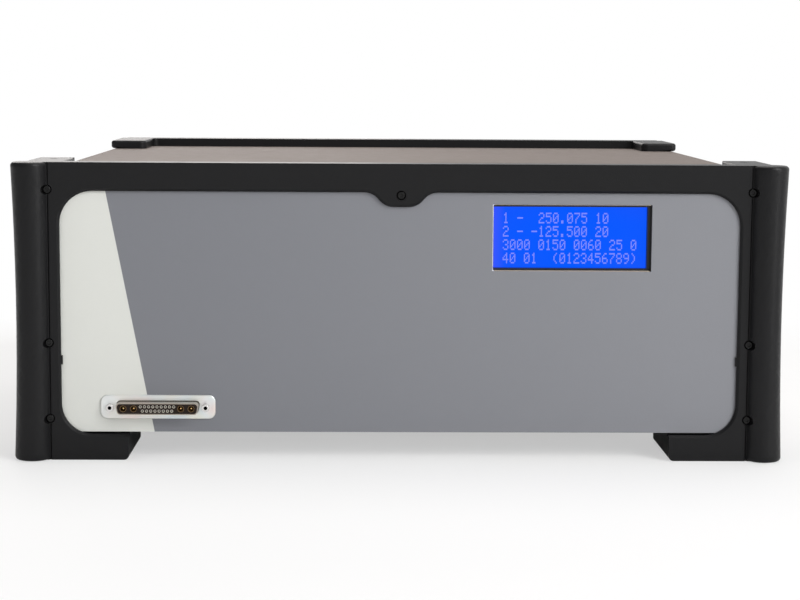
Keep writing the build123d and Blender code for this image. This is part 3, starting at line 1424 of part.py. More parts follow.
with BuildPart() as transformer_bolt:
    with BuildSketch(level(tray_floor)):
        with Locations((transformer_x, behind(transformer_setback))):
            Circle(transformer_bolt_radius)
    extrude(amount=clamp_level + transformer_clamp_sheet - tray_floor)
    with BuildSketch(level(clamp_level + transformer_clamp_sheet)):
        with Locations((transformer_x, behind(transformer_setback))):
            RegularPolygon(transformer_bolt_radius * 1.9, 6)
    extrude(amount=transformer_bolt_radius * 1.2)
keep(transformer_bolt, "transformer_bolt")

with BuildPart() as capacitors:
    with BuildSketch(level(board_top)):
        with Locations(((supply_left + supply_right) / 2, behind((supply_front + supply_back) / 2))):
            with GridLocations(capacitor_pitch, capacitor_pitch, 2, 2):
                Circle(capacitor_radius)
    extrude(amount=capacitor_height)
    chamfer(capacitors.faces().group_by(Axis.Z)[-1].edges(), 1.2)
keep(capacitors, "capacitors")


os.makedirs("parts", exist_ok=True)
for piece in finished:
    export_step(piece, f"parts/{piece.label}.step")
    print(piece.label, round(piece.volume), "mm3", piece.is_valid)
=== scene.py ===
"""A benchtop potentiostat: finishes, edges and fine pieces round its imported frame.

Metres, +Z up, the front faces -Y. Each sub-assembly is a class. The finishes are
frozen dataclasses that make their own node materials.
"""

import json
import logging
from collections.abc import Callable
from dataclasses import dataclass, field
from enum import Enum
from math import cos, pi, radians, sin

import bpy
from mathutils import Matrix, Vector

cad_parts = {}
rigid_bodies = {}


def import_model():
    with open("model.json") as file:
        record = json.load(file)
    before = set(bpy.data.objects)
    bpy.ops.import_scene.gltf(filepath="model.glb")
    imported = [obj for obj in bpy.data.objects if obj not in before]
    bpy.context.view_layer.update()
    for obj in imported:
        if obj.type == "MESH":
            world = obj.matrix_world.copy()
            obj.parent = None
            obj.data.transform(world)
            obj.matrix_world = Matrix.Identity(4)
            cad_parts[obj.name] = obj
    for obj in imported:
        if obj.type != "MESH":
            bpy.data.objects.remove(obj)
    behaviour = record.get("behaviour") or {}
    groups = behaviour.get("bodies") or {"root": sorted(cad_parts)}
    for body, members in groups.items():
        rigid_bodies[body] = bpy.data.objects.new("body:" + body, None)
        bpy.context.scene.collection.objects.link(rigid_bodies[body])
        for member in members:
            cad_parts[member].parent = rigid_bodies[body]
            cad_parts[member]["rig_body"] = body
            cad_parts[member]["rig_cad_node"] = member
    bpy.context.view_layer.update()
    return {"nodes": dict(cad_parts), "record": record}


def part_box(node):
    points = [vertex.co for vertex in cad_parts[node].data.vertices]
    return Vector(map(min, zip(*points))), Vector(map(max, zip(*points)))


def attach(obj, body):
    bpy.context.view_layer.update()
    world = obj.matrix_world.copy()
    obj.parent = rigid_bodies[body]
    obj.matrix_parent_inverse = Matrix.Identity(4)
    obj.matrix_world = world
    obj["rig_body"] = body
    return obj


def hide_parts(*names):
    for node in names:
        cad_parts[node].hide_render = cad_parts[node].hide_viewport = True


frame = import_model()
LOG = logging.getLogger("potentiostat")

Colour = tuple[float, float, float]
Point = tuple[float, float, float]
Roll = tuple[Callable[[Vector, Vector], bool], float]


class Body(Enum):
    """The CAD bodies that pieces ride on."""

    CASE = "case"
    ROTOR = "rotor"
    ROCKER = "rocker"
    DRAWER = "drawer"
    COLLAR = "collar"
    NUT = "nut"


class Grain(Enum):
    """The surface of a finish, from its bump nodes."""

    SMOOTH = "smooth"
    LEATHERED = "leathered"
    SPRAYED = "sprayed"
    BRUSHED = "brushed"
    CAST = "cast"


class Nodes:
    """A small hand for joining shader nodes."""

    def __init__(self, name: str) -> None:
        """Start an empty material with its output and a principled shader.

        Args:
            name: the material's name.
        """
        self.material = bpy.data.materials.new(name)
        self.material.use_nodes = True
        self.tree = self.material.node_tree
        self.shader = self.tree.nodes["Principled BSDF"]
        self.place = self.add("ShaderNodeTexCoord").outputs["Object"]

    def add(self, kind: str, **inputs: object) -> bpy.types.Node:
        """Add a node and set its inputs, by value or by link.

        Args:
            kind: the node's type.
            inputs: input names, with underscores for spaces.

        Returns:
            The new node.
        """
        node = self.tree.nodes.new(kind)
        for name, value in inputs.items():
            self.plug(node.inputs[name.replace("_", " ")], value)
        return node

    def plug(self, socket: bpy.types.NodeSocket, value: object) -> None:
        """Link a socket to another one, or set it to a value."""
        if isinstance(value, bpy.types.NodeSocket):
            self.tree.links.new(value, socket)
        else:
            socket.default_value = value

    def sum(self, kind: str, *values: object) -> bpy.types.NodeSocket:
        """A Math node of a kind over some values or sockets.

        Args:
            kind: the operation, such as MULTIPLY.
            values: its operands in order.

        Returns:
            The node's output.
        """
        node = self.add("ShaderNodeMath")
        node.operation = kind
        for socket, value in zip(node.inputs, values):
            self.plug(socket, value)
        return node.outputs[0]

    def noise(self, scale: float, detail: float = 3.0) -> bpy.types.NodeSocket:
        """A noise of some cells to the metre, in the piece's own space."""
        return self.add("ShaderNodeTexNoise", Vector=self.place, Scale=scale, Detail=detail).outputs["Fac"]

    def between(self, low: object, high: object, share: object) -> bpy.types.NodeSocket:
        """A colour between two colours.

        Args:
            low: the colour or socket at share 0.
            high: the colour or socket at share 1.
            share: the share, from 0 to 1.

        Returns:
            The mixed colour.
        """
        node = self.tree.nodes.new("ShaderNodeMix")
        node.data_type = "RGBA"
        self.plug(node.inputs[0], share)
        self.plug(node.inputs[6], low)
        self.plug(node.inputs[7], high)
        return node.outputs[2]

    def stretch(self, value: object, low: float, high: float) -> bpy.types.NodeSocket:
        """A value of 0 to 1 moved into another range."""
        return self.add("ShaderNodeMapRange", Value=value, To_Min=low, To_Max=high).outputs["Result"]

    def ramp(self, value: object, start: float, end: float, most: float = 1.0) -> bpy.types.NodeSocket:
        """A value that rises from 0 to its most between two readings of another one.

        Args:
            value: the reading.
            start: the reading at which the result is 0.
            end: the reading from which the result is its most.
            most: the result's most.

        Returns:
            The result.
        """
        node = self.add("ShaderNodeMapRange", Value=value, From_Min=start, From_Max=end, To_Max=most)
        return node.outputs["Result"]

    def bump(self, height: object, strength: float, depth: float) -> None:
        """Bump the shader's surface by a height, on top of earlier bumps.

        Args:
            height: the height's socket.
            strength: how much of the bump counts.
            depth: its depth in metres.
        """
        node = self.add("ShaderNodeBump", Height=height, Strength=strength, Distance=depth)
        normal = self.shader.inputs["Normal"]
        if normal.is_linked:
            self.tree.links.new(normal.links[0].from_socket, node.inputs["Normal"])
        self.plug(normal, node.outputs["Normal"])


@dataclass(frozen=True)
class Finish:
    """A solid finish: its colour, how it shines, and the grain of its surface."""

    name: str
    colour: Colour
    roughness: float = 0.5
    metallic: float = 0.0
    grain: Grain = Grain.SMOOTH
    mottle: float = 0.08
    coat: float = 0.0
    alpha: float = 1.0
    transmission: float = 0.0
    specular: float = 0.5

    def nodes(self) -> Nodes:
        """Make the material and join its nodes.

        Returns:
            The nodes, for a finish that adds to them.
        """
        made = Nodes(self.name)
        shader = made.shader
        shader.inputs["Metallic"].default_value = self.metallic
        shader.inputs["Coat Weight"].default_value = self.coat
        shader.inputs["Coat Roughness"].default_value = 0.12
        shader.inputs["Alpha"].default_value = self.alpha
        shader.inputs["Transmission Weight"].default_value = self.transmission
        shader.inputs["Specular IOR Level"].default_value = self.specular
        dark = tuple(c * (1 - self.mottle) for c in self.colour) + (1.0,)
        light = tuple(min(1.0, c * (1 + self.mottle)) for c in self.colour) + (1.0,)
        made.plug(shader.inputs["Base Color"], made.between(dark, light, made.noise(45.0)))
        wear = made.stretch(made.noise(160.0, 5.0), self.roughness * 0.85, min(1.0, self.roughness * 1.18))
        made.plug(shader.inputs["Roughness"], wear)
        self.surface(made)
        return made

    def surface(self, made: Nodes) -> None:
        """Bump the surface in the finish's grain."""
        if self.grain is Grain.LEATHERED:
            pits = made.add("ShaderNodeTexVoronoi", Vector=made.place, Scale=1500.0)
            pits.feature = "SMOOTH_F1"
            made.bump(pits.outputs["Distance"], 0.35, 0.00012)
            made.bump(made.noise(4200.0, 2.0), 0.2, 0.00005)
        elif self.grain is Grain.SPRAYED:
            made.bump(made.noise(1300.0, 4.0), 0.3, 0.0001)
            made.bump(made.noise(5200.0, 2.0), 0.15, 0.00004)
        elif self.grain is Grain.CAST:
            made.bump(made.noise(900.0, 5.0), 0.25, 0.0001)
        elif self.grain is Grain.BRUSHED:
            drawn = made.add("ShaderNodeMapping", Vector=made.place, Scale=(40.0, 2600.0, 2600.0))
            lines = made.add("ShaderNodeTexNoise", Vector=drawn.outputs[0], Scale=1.0, Detail=4.0)
            made.bump(lines.outputs["Fac"], 0.12, 0.00003)
        else:
            made.bump(made.noise(700.0, 3.0), 0.05, 0.00003)

    def material(self) -> bpy.types.Material:
        """The finished material."""
        return self.nodes().material


@dataclass(frozen=True)
class PrintedPaint(Finish):
    """The front panel: grey paint with a light slanted field, bare metal at its cut edges, painted shade on the
    window's right wall, and a painted lighter tone towards its right end.
    """

    light: Colour = (0.70, 0.71, 0.67)
    # far: the grey's painted lighter tone at the right end, for the light falling from the right.
    far: Colour = (0.224, 0.229, 0.250)
    bare: Colour = (0.82, 0.82, 0.81)
    straw: Colour = (0.50, 0.43, 0.31)
    # shade: the painted shade colour given to the window's right inner wall.
    shade: Colour = (0.030, 0.028, 0.020)
    window_left: float = 0.0620
    window_right: float = 0.1655
    face: float = -0.1603
    edge_top: Point = (-0.1946, 0.0, 0.1784)
    edge_slope: float = 0.1939

    def nodes(self) -> Nodes:
        """Join the print's boundary to the paint by the panel's own coordinates."""
        made = Finish.nodes(self)
        axes = made.add("ShaderNodeSeparateXYZ", Vector=made.place)
        across, back, up = axes.outputs
        drop = made.sum("MULTIPLY", made.sum("SUBTRACT", self.edge_top[2], up), self.edge_slope)
        beyond = made.sum("SUBTRACT", across, made.sum("ADD", drop, self.edge_top[0]))
        inked = made.ramp(beyond, -0.0001, 0.0001)
        # Painted light: the grey field is ramped from colour to far across X, lighter towards the right.
        along = made.ramp(across, -0.2, 0.24)
        speck = made.stretch(made.noise(2600.0, 2.0), 0.0, 1.0)
        grey = made.between(self.colour + (1.0,), self.far + (1.0,), along)
        grey = made.between(grey, made.between((0, 0, 0, 1), (1, 1, 1, 1), speck), 0.012)
        front = made.between(self.light + (1.0,), grey, inked)
        behind = made.sum("GREATER_THAN", back, self.face + 0.00015)
        inner = made.sum("GREATER_THAN", across, self.window_left)
        edge = made.between(self.bare + (1.0,), self.straw + (1.0,), inner)
        # Painted shade: walls right of the window's right edge take a near-black colour for the shade on them.
        edge = made.between(edge, self.shade + (1.0,), made.sum("GREATER_THAN", across, self.window_right))
        made.plug(made.shader.inputs["Base Color"], made.between(front, edge, behind))
        made.plug(made.shader.inputs["Metallic"], made.sum("MULTIPLY", behind, 0.6))
        return made


@dataclass(frozen=True)
class Chromate(Finish):
    """Clear chromate plate, whose thin film shows faint blue, rose and straw patches."""

    blue: Colour = (0.72, 0.82, 0.88)
    rose: Colour = (0.88, 0.72, 0.68)
    straw: Colour = (0.90, 0.86, 0.68)
    spread: float = 0.22
    strongest: float = 0.75

    def nodes(self) -> Nodes:
        """Blend the three tints over the plate by two slow noises."""
        made = Finish.nodes(self)
        plate = made.shader.inputs["Base Color"].links[0].from_socket
        tints = ((self.blue, 34.0, 0.48), (self.rose, 52.0, 0.56), (self.straw, 41.0, 0.52))
        for tint, scale, start in tints:
            patch = made.ramp(made.noise(scale, 1.0), start, start + self.spread, self.strongest)
            plate = made.between(plate, tint + (1.0,), patch)
        made.plug(made.shader.inputs["Base Color"], plate)
        return made


@dataclass(frozen=True)
class ShadedBore(Finish):
    """Plated jackscrews, with painted shade down their threaded holes."""

    axes: tuple[tuple[float, float], ...] = ((-0.19275, 0.0355), (-0.12925, 0.0355))
    # bore: the radius of the painted shade disc round each screw's axis.
    bore: float = 0.00125

    def nodes(self) -> Nodes:
        """Paint near-black shade where a point lies within the bore radius of the nearer screw's axis."""
        made = Finish.nodes(self)
        across, _, up = made.add("ShaderNodeSeparateXYZ", Vector=made.place).outputs
        nearest = 1.0
        for x, z in self.axes:
            aside = made.sum("POWER", made.sum("ABSOLUTE", made.sum("SUBTRACT", across, x)), 2.0)
            above = made.sum("POWER", made.sum("ABSOLUTE", made.sum("SUBTRACT", up, z)), 2.0)
            nearest = made.sum("MINIMUM", nearest, made.sum("SQRT", made.sum("ADD", aside, above)))
        # Painted shade: within the bore radius the plate colour gives way to near-black, for the shade down the
        # threaded hole.
        inside = made.sum("LESS_THAN", nearest, self.bore)
        plate = made.shader.inputs["Base Color"].links[0].from_socket
        made.plug(made.shader.inputs["Base Color"], made.between(plate, (0.004, 0.004, 0.005, 1.0), inside))
        return made


@dataclass(frozen=True)
class LitScreen(Finish):
    """A blue lit display with a fine grid of dots, a little brighter in its middle."""

    glow: Colour = (0.0, 0.100, 1.0)
    dim: Colour = (0.012, 0.085, 0.95)
    left_glow: Colour = (0.040, 0.095, 1.0)
    middle: Point = (0.1127, 0.0, 0.1495)
    pitch: float = 0.00072

    def nodes(self) -> Nodes:
        """Join the light, its fall towards the edges and the grid of dots."""
        made = Finish.nodes(self)
        axes = made.add("ShaderNodeSeparateXYZ", Vector=made.place)
        across, _, up = axes.outputs
        aside = made.sum("MULTIPLY", made.sum("ABSOLUTE", made.sum("SUBTRACT", across, self.middle[0])), 17.0)
        away = made.sum("MULTIPLY", made.sum("ABSOLUTE", made.sum("SUBTRACT", up, self.middle[2])), 30.0)
        fall = made.sum("MINIMUM", made.sum("MULTIPLY", aside, made.sum("MAXIMUM", away, 0.25)), 1.0)
        light = made.between(self.glow + (1.0,), self.dim + (1.0,), fall)
        leftward = made.ramp(across, self.middle[0] - 0.043, self.middle[0] - 0.0505)
        light = made.between(light, self.left_glow + (1.0,), leftward)
        rows = made.sum("LESS_THAN", made.sum("PINGPONG", across, self.pitch / 2), self.pitch * 0.06)
        lines = made.sum("LESS_THAN", made.sum("PINGPONG", up, self.pitch / 2), self.pitch * 0.06)
        grid = made.sum("MULTIPLY", made.sum("MAXIMUM", rows, lines), 0.12)
        light = made.between(light, (0.0, 0.02, 0.45, 1.0), grid)
        made.plug(made.shader.inputs["Emission Color"], light)
        made.shader.inputs["Emission Strength"].default_value = 0.98
        return made


@dataclass(frozen=True)
class CircuitBoard(Finish):
    """Solder mask over fine copper tracks."""

    track: Colour = (0.05, 0.30, 0.12)

    def nodes(self) -> Nodes:
        """Join square cells of tracks to the mask's colour and height."""
        made = Finish.nodes(self)
        cells = made.add("ShaderNodeTexVoronoi", Vector=made.place, Scale=260.0)
        cells.distance = "MANHATTAN"
        cells.feature = "F1"
        lines = made.sum("PINGPONG", made.sum("MULTIPLY", cells.outputs["Distance"], 6.0), 1.0)
        tracks = made.sum("GREATER_THAN", lines, 0.62)
        colour = made.between(self.colour + (1.0,), self.track + (1.0,), tracks)
        made.plug(made.shader.inputs["Base Color"], colour)
        made.bump(tracks, 0.3, 0.00003)
        return made


BLACK_MOULDING = Finish("black_moulding", (0.0085, 0.0085, 0.0092), 0.36, grain=Grain.LEATHERED, specular=0.2)
BLACK_SMOOTH = Finish("black_smooth_plastic", (0.016, 0.016, 0.018), 0.35, grain=Grain.CAST, specular=0.3)
BLACK_STEEL = Finish("blackened_steel", (0.005, 0.005, 0.005), 0.13, 0.0, specular=0.6)
SCREW_BLACK = Finish("screw_black", (0.006, 0.006, 0.006), 0.16, 0.0, specular=0.22)
COVER_PAINT = Finish("cover_paint", (0.200, 0.170, 0.154), 0.62, grain=Grain.SPRAYED, mottle=0.04,
                     specular=0.12)
PANEL_PRINT = PrintedPaint("panel_print", (0.180, 0.186, 0.207), 0.5, grain=Grain.SPRAYED, mottle=0.02)
ZINC = Finish("zinc_plate", (0.62, 0.63, 0.62), 0.34, 0.95, Grain.BRUSHED, 0.1)
CHROMATE = Chromate("chromate_plate", (0.83, 0.82, 0.78), 0.3, 0.7, Grain.SMOOTH, 0.04)
NICKEL_SHADED_BORES = ShadedBore("nickel_shaded_bores", (0.72, 0.71, 0.70), 0.2, 1.0)
NICKEL = Finish("nickel_plate", (0.66, 0.63, 0.57), 0.24, 1.0)
SHELL_TIN = Finish("shell_tin", (0.40, 0.355, 0.305), 0.2, 1.0)
GOLD = Finish("gold_plate", (0.85, 0.62, 0.28), 0.25, 1.0)
# Brass darkened to a deep brown as painted shade, so the coax sleeves read as dark holes round the pins.
COAX_SHADED_BRASS = Finish("coax_shaded_brass", (0.20, 0.125, 0.06), 0.22, 1.0)
CONTACT_RIM = Finish("contact_rim", (0.70, 0.66, 0.58), 0.2, 1.0)
# Painted shade: the near-black colour given to the deep faces of the socket bores.
CONTACT_WELL_SHADE = Finish("contact_well_shade", (0.012, 0.009, 0.007), 0.5, specular=0.1)
WHITE_PLASTIC = Finish("white_plastic", (0.78, 0.77, 0.73), 0.45, grain=Grain.CAST)
RIBBON_GREY = Finish("cable_grey", (0.42, 0.42, 0.41), 0.55)
ALUMINIUM = Finish("drawn_aluminium", (0.74, 0.74, 0.75), 0.36, 1.0, Grain.BRUSHED)
SOCKET_BROWN = Finish("socket_moulding", (0.016, 0.010, 0.007), 0.4, grain=Grain.CAST, specular=0.15)
GREEN_PLASTIC = Finish("green_plastic", (0.015, 0.19, 0.05), 0.35, grain=Grain.CAST)
WINDING_TAPE = Finish("winding_tape", (0.58, 0.42, 0.07), 0.3, coat=0.4)
RUBBER = Finish("rubber_pad", (0.025, 0.025, 0.025), 0.8, grain=Grain.CAST)
CAN_SLEEVE = Finish("can_sleeve", (0.02, 0.03, 0.09), 0.3, coat=0.3)
FUSE_GLASS = Finish("fuse_glass", (0.85, 0.87, 0.86), 0.08, alpha=0.55, transmission=0.6)
BOARD = CircuitBoard("solder_mask", (0.02, 0.17, 0.06), 0.35, coat=0.3)
SCREEN = LitScreen("lit_screen", (0.0, 0.004, 0.04), 0.3, specular=0.04)
DOT_LIGHT = Finish("lit_dot", (0.03, 0.03, 0.05), 0.4, specular=0.12)


class Shop:
    """The bench that the pieces are made on: copies, operators and hand-over."""

    def __init__(self, nodes: dict[str, bpy.types.Object]) -> None:
        """Keep the CAD nodes and the materials made so far."""
        self.nodes = nodes
        self.made: dict[str, bpy.types.Material] = {}

    def finish(self, finish: Finish) -> bpy.types.Material:
        """The material of a finish, made once."""
        if finish.name not in self.made:
            self.made[finish.name] = finish.material()
        return self.made[finish.name]

    def dress(self, name: str, finish: Finish) -> bpy.types.Object:
        """Give a CAD node, whose shape stays, a better finish."""
        node = self.nodes[name]
        if not node.material_slots:
            node.data.materials.append(None)
        for place in node.material_slots:
            place.material = self.finish(finish)
        return node

    @staticmethod
    def choose(*pieces: bpy.types.Object) -> None:
        """Select only these pieces and make the first one active."""
        bpy.ops.object.select_all(action="DESELECT")
        for piece in pieces:
            piece.select_set(True)
        bpy.context.view_layer.objects.active = pieces[0]

    def roll(self, piece: bpy.types.Object, chosen: Callable[[Vector, Vector], bool], width: float) -> None:
        """Roll over the edges of a piece that a test picks from their two ends.

        Args:
            piece: the piece.
            chosen: says whether an edge between two points is rolled over.
            width: how far the rounding reaches.
        """
        self.choose(piece)
        bpy.ops.object.mode_set(mode="EDIT")
        bpy.ops.mesh.select_mode(type="EDGE")
        bpy.ops.mesh.select_all(action="DESELECT")
        bpy.ops.object.mode_set(mode="OBJECT")
        corners = piece.data.vertices
        for edge in piece.data.edges:
            first, second = (corners[i].co for i in edge.vertices)
            edge.select = chosen(first, second)
        bpy.ops.object.mode_set(mode="EDIT")
        bpy.ops.mesh.bevel(offset=width, segments=4, affect="EDGES", clamp_overlap=False)
        bpy.ops.object.mode_set(mode="OBJECT")

    def soften(self, name: str, finish: Finish, width: float, body: Body = Body.CASE, segments: int = 2,
               angle: float = 32.0, rolls: tuple[Roll, ...] = ()) -> bpy.types.Object:
        """Stand a copy with rounded edges and smooth curves in for a CAD node.

        Args:
            name: the node.
            finish: its finish.
            width: how far the rounding reaches from an edge, in metres.
            body: the body that it rides on.
            segments: the steps of the rounding.
            angle: edges sharper than this are rounded, in degrees.
            rolls: edges that are rolled over further, and how far.

        Returns:
            The new piece.
        """
        node = self.nodes[name]
        slot = next(s["material_slot"] for s in frame["record"]["subparts"] if s["node"] == name)
        piece = node.copy()
        piece.data = node.data.copy()
        piece.parent = None
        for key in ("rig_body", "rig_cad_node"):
            if key in piece:
                del piece[key]
        piece.name = f"{name}_finished"
        bpy.context.scene.collection.objects.link(piece)
        self.choose(piece)
        bpy.ops.object.mode_set(mode="EDIT")
        bpy.ops.mesh.select_all(action="SELECT")
        bpy.ops.mesh.remove_doubles(threshold=0.000002)
        bpy.ops.mesh.dissolve_limited(angle_limit=radians(0.6))
        bpy.ops.object.mode_set(mode="OBJECT")
        for chosen, reach in rolls:
            self.roll(piece, chosen, reach)
        if width > 0:
            bpy.ops.object.modifier_add(type="BEVEL")
            bevel = piece.modifiers[-1]
            bevel.width = width
            bevel.segments = segments
            bevel.limit_method = "ANGLE"
            bevel.angle_limit = radians(angle)
            bevel.use_clamp_overlap = True
            bevel.miter_outer = "MITER_ARC"
            bpy.ops.object.modifier_apply(modifier=bevel.name)
        bpy.ops.object.shade_smooth_by_angle(angle=radians(28))
        bpy.ops.object.modifier_add(type="WEIGHTED_NORMAL")
        weighted = piece.modifiers[-1]
        weighted.keep_sharp = True
        bpy.ops.object.modifier_apply(modifier=weighted.name)
        self.hand_over(piece, finish, body, slot, replaced=(name,))
        return piece

    def hand_over(self, piece: bpy.types.Object, finish: Finish, body: Body, slot: str,
                  replaced: tuple[str, ...] = ()) -> None:
        """Give a finished piece its material and body.

        Args:
            piece: the piece, in place.
            finish: its finish.
            body: the body that it rides on.
            slot: the record's material slot; not used.
            replaced: the CAD nodes that it stands for.
        """
        piece.data.materials.clear()
        piece.data.materials.append(self.finish(finish))
        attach(piece, body.value)
        if replaced:
            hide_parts(*replaced)
        LOG.info("%s rides on %s, %d faces", piece.name, body.value, len(piece.data.polygons))

    def settle(self, piece: bpy.types.Object, name: str) -> None:
        """Put a piece's place and turn into its mesh, so that its object sits at the origin."""
        self.choose(piece)
        bpy.ops.object.transform_apply(location=True, rotation=True, scale=True)
        piece.name = name

    @staticmethod
    def repeat(pattern: bpy.types.Object, places: list[Point]) -> list[bpy.types.Object]:
        """Copy a pattern to some places, each copy with its own mesh, and drop the pattern.

        Args:
            pattern: the piece that is copied, at the origin.
            places: where the copies stand.

        Returns:
            The copies.
        """
        pieces = []
        for place in places:
            piece = pattern.copy()
            piece.data = pattern.data.copy()
            piece.location = place
            bpy.context.scene.collection.objects.link(piece)
            pieces.append(piece)
        bpy.data.objects.remove(pattern)
        return pieces

    def join(self, pieces: list[bpy.types.Object], name: str) -> bpy.types.Object:
        """Make one piece of several."""
        self.choose(*pieces)
        bpy.ops.object.join()
        piece = bpy.context.view_layer.objects.active
        self.settle(piece, name)
        return piece

    def drum(self, middle: Point, radius: float, length: float, axis: str, sides: int = 32,
             edge: float = 0.0, name: str = "drum") -> bpy.types.Object:
        """A cylinder along an axis with its rims rounded.

        Args:
            middle: its middle.
            radius: its radius.
            length: its length.
            axis: X, Y or Z.
            sides: the number of its sides.
            edge: the width of its rounded rims.
            name: the piece's name.

        Returns:
            The cylinder.
        """
        turn = {"X": (0, pi / 2, 0), "Y": (pi / 2, 0, 0), "Z": (0, 0, 0)}[axis]
        bpy.ops.object.select_all(action="DESELECT")
        bpy.ops.mesh.primitive_cylinder_add(vertices=sides, radius=radius, depth=length,
                                            location=middle, rotation=turn)
        piece = bpy.context.active_object
        self.settle(piece, name)
        if edge > 0:
            bpy.ops.object.mode_set(mode="EDIT")
            bpy.ops.mesh.select_mode(type="FACE")
            bpy.ops.mesh.select_all(action="DESELECT")
            bpy.ops.object.mode_set(mode="OBJECT")
            for face in piece.data.polygons:
                face.select = len(face.vertices) > 4
            bpy.ops.object.mode_set(mode="EDIT")
            bpy.ops.mesh.region_to_loop()
            bpy.ops.mesh.bevel(offset=edge, segments=3, affect="EDGES")
            bpy.ops.object.mode_set(mode="OBJECT")
        bpy.ops.object.shade_smooth_by_angle(angle=radians(35))
        return piece


@dataclass
class Front:
    """The moulded bezel, the printed panel, and their screws."""

    shop: Shop
    bezel_edge: float = 0.0006
    lug_inner: float = 0.2237
    lug_edge: float = 0.0028
    lug_corner: float = 0.0035
    near: float = 0.0001
    reach: tuple[Point, Point] = field(default_factory=lambda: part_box("front_bezel"))

    def on_inner_side(self, first: Vector, second: Vector) -> bool:
        """Whether both ends of an edge are on the inner side of a lug."""
        return all(abs(abs(corner.x) - self.lug_inner) < self.near for corner in (first, second))

    def on_lug(self, first: Vector, second: Vector) -> bool:
        """Whether an edge is the inner top edge of a lug."""
        top = self.reach[1][2]
        level = abs(first.z - top) < self.near and abs(second.z - top) < self.near
        return level and self.on_inner_side(first, second)

    def on_corner(self, first: Vector, second: Vector) -> bool:
        """Whether an edge is the upright back inner corner of a lug."""
        _, back, top = self.reach[1]
        behind = abs(first.y - back) < self.near and abs(second.y - back) < self.near
        return behind and self.on_inner_side(first, second) and max(first.z, second.z) > top - self.near

    def build(self) -> None:
        """Finish the front's pieces."""
        rolls = ((self.on_corner, self.lug_corner), (self.on_lug, self.lug_edge))
        self.shop.soften("front_bezel", BLACK_MOULDING, self.bezel_edge, rolls=rolls)
        self.shop.dress("front_panel", PANEL_PRINT)
        self.shop.soften("bezel_screws", SCREW_BLACK, 0.0002)
        self.shop.dress("panel_nuts", ZINC)


@dataclass
class Display:
    """The lit display: its glass, its frame and its rows of dots."""

    shop: Shop
    left: float = 0.0681
    top: float = 0.1658
    front: float = -0.15232
    cell_width: float = 0.00475
    cell_height: float = 0.00895
    dot: float = 0.00068
    dot_height: float = 0.00094
    dot_thickness: float = 0.00006
    step_across: float = 1.12
    step_down: float = 1.1
    dot_glow: Colour = (0.20, 0.25, 0.93)
    rows: tuple[str, ...] = (
        "1 -  250.075 10",
        "2 - -125.500 20",
        "3000 0150 0060 25 0",
        "40 01  (0123456789)",
    )
    glyphs: dict[str, tuple[str, ...]] = field(default_factory=lambda: {
        "0": ("01110", "10001", "10011", "10101", "11001", "10001", "01110"),
        "1": ("00100", "01100", "00100", "00100", "00100", "00100", "01110"),
        "2": ("01110", "10001", "00001", "00110", "01000", "10000", "11111"),
        "3": ("01110", "10001", "00001", "00110", "00001", "10001", "01110"),
        "4": ("00010", "00110", "01010", "10010", "11111", "00010", "00010"),
        "5": ("11111", "10000", "11110", "00001", "00001", "10001", "01110"),
        "6": ("00110", "01000", "10000", "11110", "10001", "10001", "01110"),
        "7": ("11111", "00001", "00010", "00100", "01000", "01000", "01000"),
        "8": ("01110", "10001", "10001", "01110", "10001", "10001", "01110"),
        "9": ("01110", "10001", "10001", "01111", "00001", "00010", "01100"),
        "-": ("00000", "00000", "00000", "11111", "00000", "00000", "00000"),
        ".": ("00000", "00000", "00000", "00000", "00000", "01100", "01100"),
        "(": ("00010", "00100", "01000", "01000", "01000", "00100", "00010"),
        ")": ("01000", "00100", "00010", "00010", "00010", "00100", "01000"),
    })

    def build(self) -> None:
        """Finish the display's pieces and light its dots."""
        self.shop.dress("display_glass", SCREEN)
        self.shop.dress("display_frame", BLACK_SMOOTH)
        self.shop.dress("display_board", BOARD)
        self.shop.dress("display_spacers", ZINC)
        self.numbers()

    def lit(self) -> list[tuple[float, float]]:
        """The middles of all lit dots, as X and Z."""
        places = []
        for row, text in enumerate(self.rows):
            for column, mark in enumerate(text):
                for line, dots in enumerate(self.glyphs.get(mark, ())):
                    for step, on in enumerate(dots):
                        if on == "1":
                            across = (step + 0.5) * self.dot * self.step_across
                            down = (line + 0.5) * self.dot_height * self.step_down
                            places.append((self.left + column * self.cell_width + across,
                                           self.top - row * self.cell_height - down))
        return places

    def tile(self) -> bpy.types.Object:
        """One dot's tile at the origin: a small plate stood upright and pulled back to its thickness."""
        bpy.ops.object.select_all(action="DESELECT")
        bpy.ops.mesh.primitive_plane_add(size=1, rotation=(pi / 2, 0, 0))
        piece = bpy.context.active_object
        piece.scale = (self.dot, self.dot_height, 1)
        self.shop.settle(piece, "tile")
        bpy.ops.object.mode_set(mode="EDIT")
        bpy.ops.mesh.select_all(action="SELECT")
        bpy.ops.mesh.extrude_region_move(TRANSFORM_OT_translate={"value": (0, self.dot_thickness, 0)})
        bpy.ops.mesh.select_all(action="SELECT")
        bpy.ops.mesh.normals_make_consistent(inside=False)
        bpy.ops.object.mode_set(mode="OBJECT")
        return piece

    def numbers(self) -> None:
        """Lay a thin lit tile for each dot on the glass."""
        places = [(x, self.front, z) for x, z in self.lit()]
        piece = self.shop.join(self.shop.repeat(self.tile(), places), "display_numbers")
        self.shop.hand_over(piece, DOT_LIGHT, Body.CASE, "display")
        shader = self.shop.finish(DOT_LIGHT).node_tree.nodes["Principled BSDF"]
        shader.inputs["Emission Color"].default_value = self.dot_glow + (1.0,)
        shader.inputs["Emission Strength"].default_value = 1.0


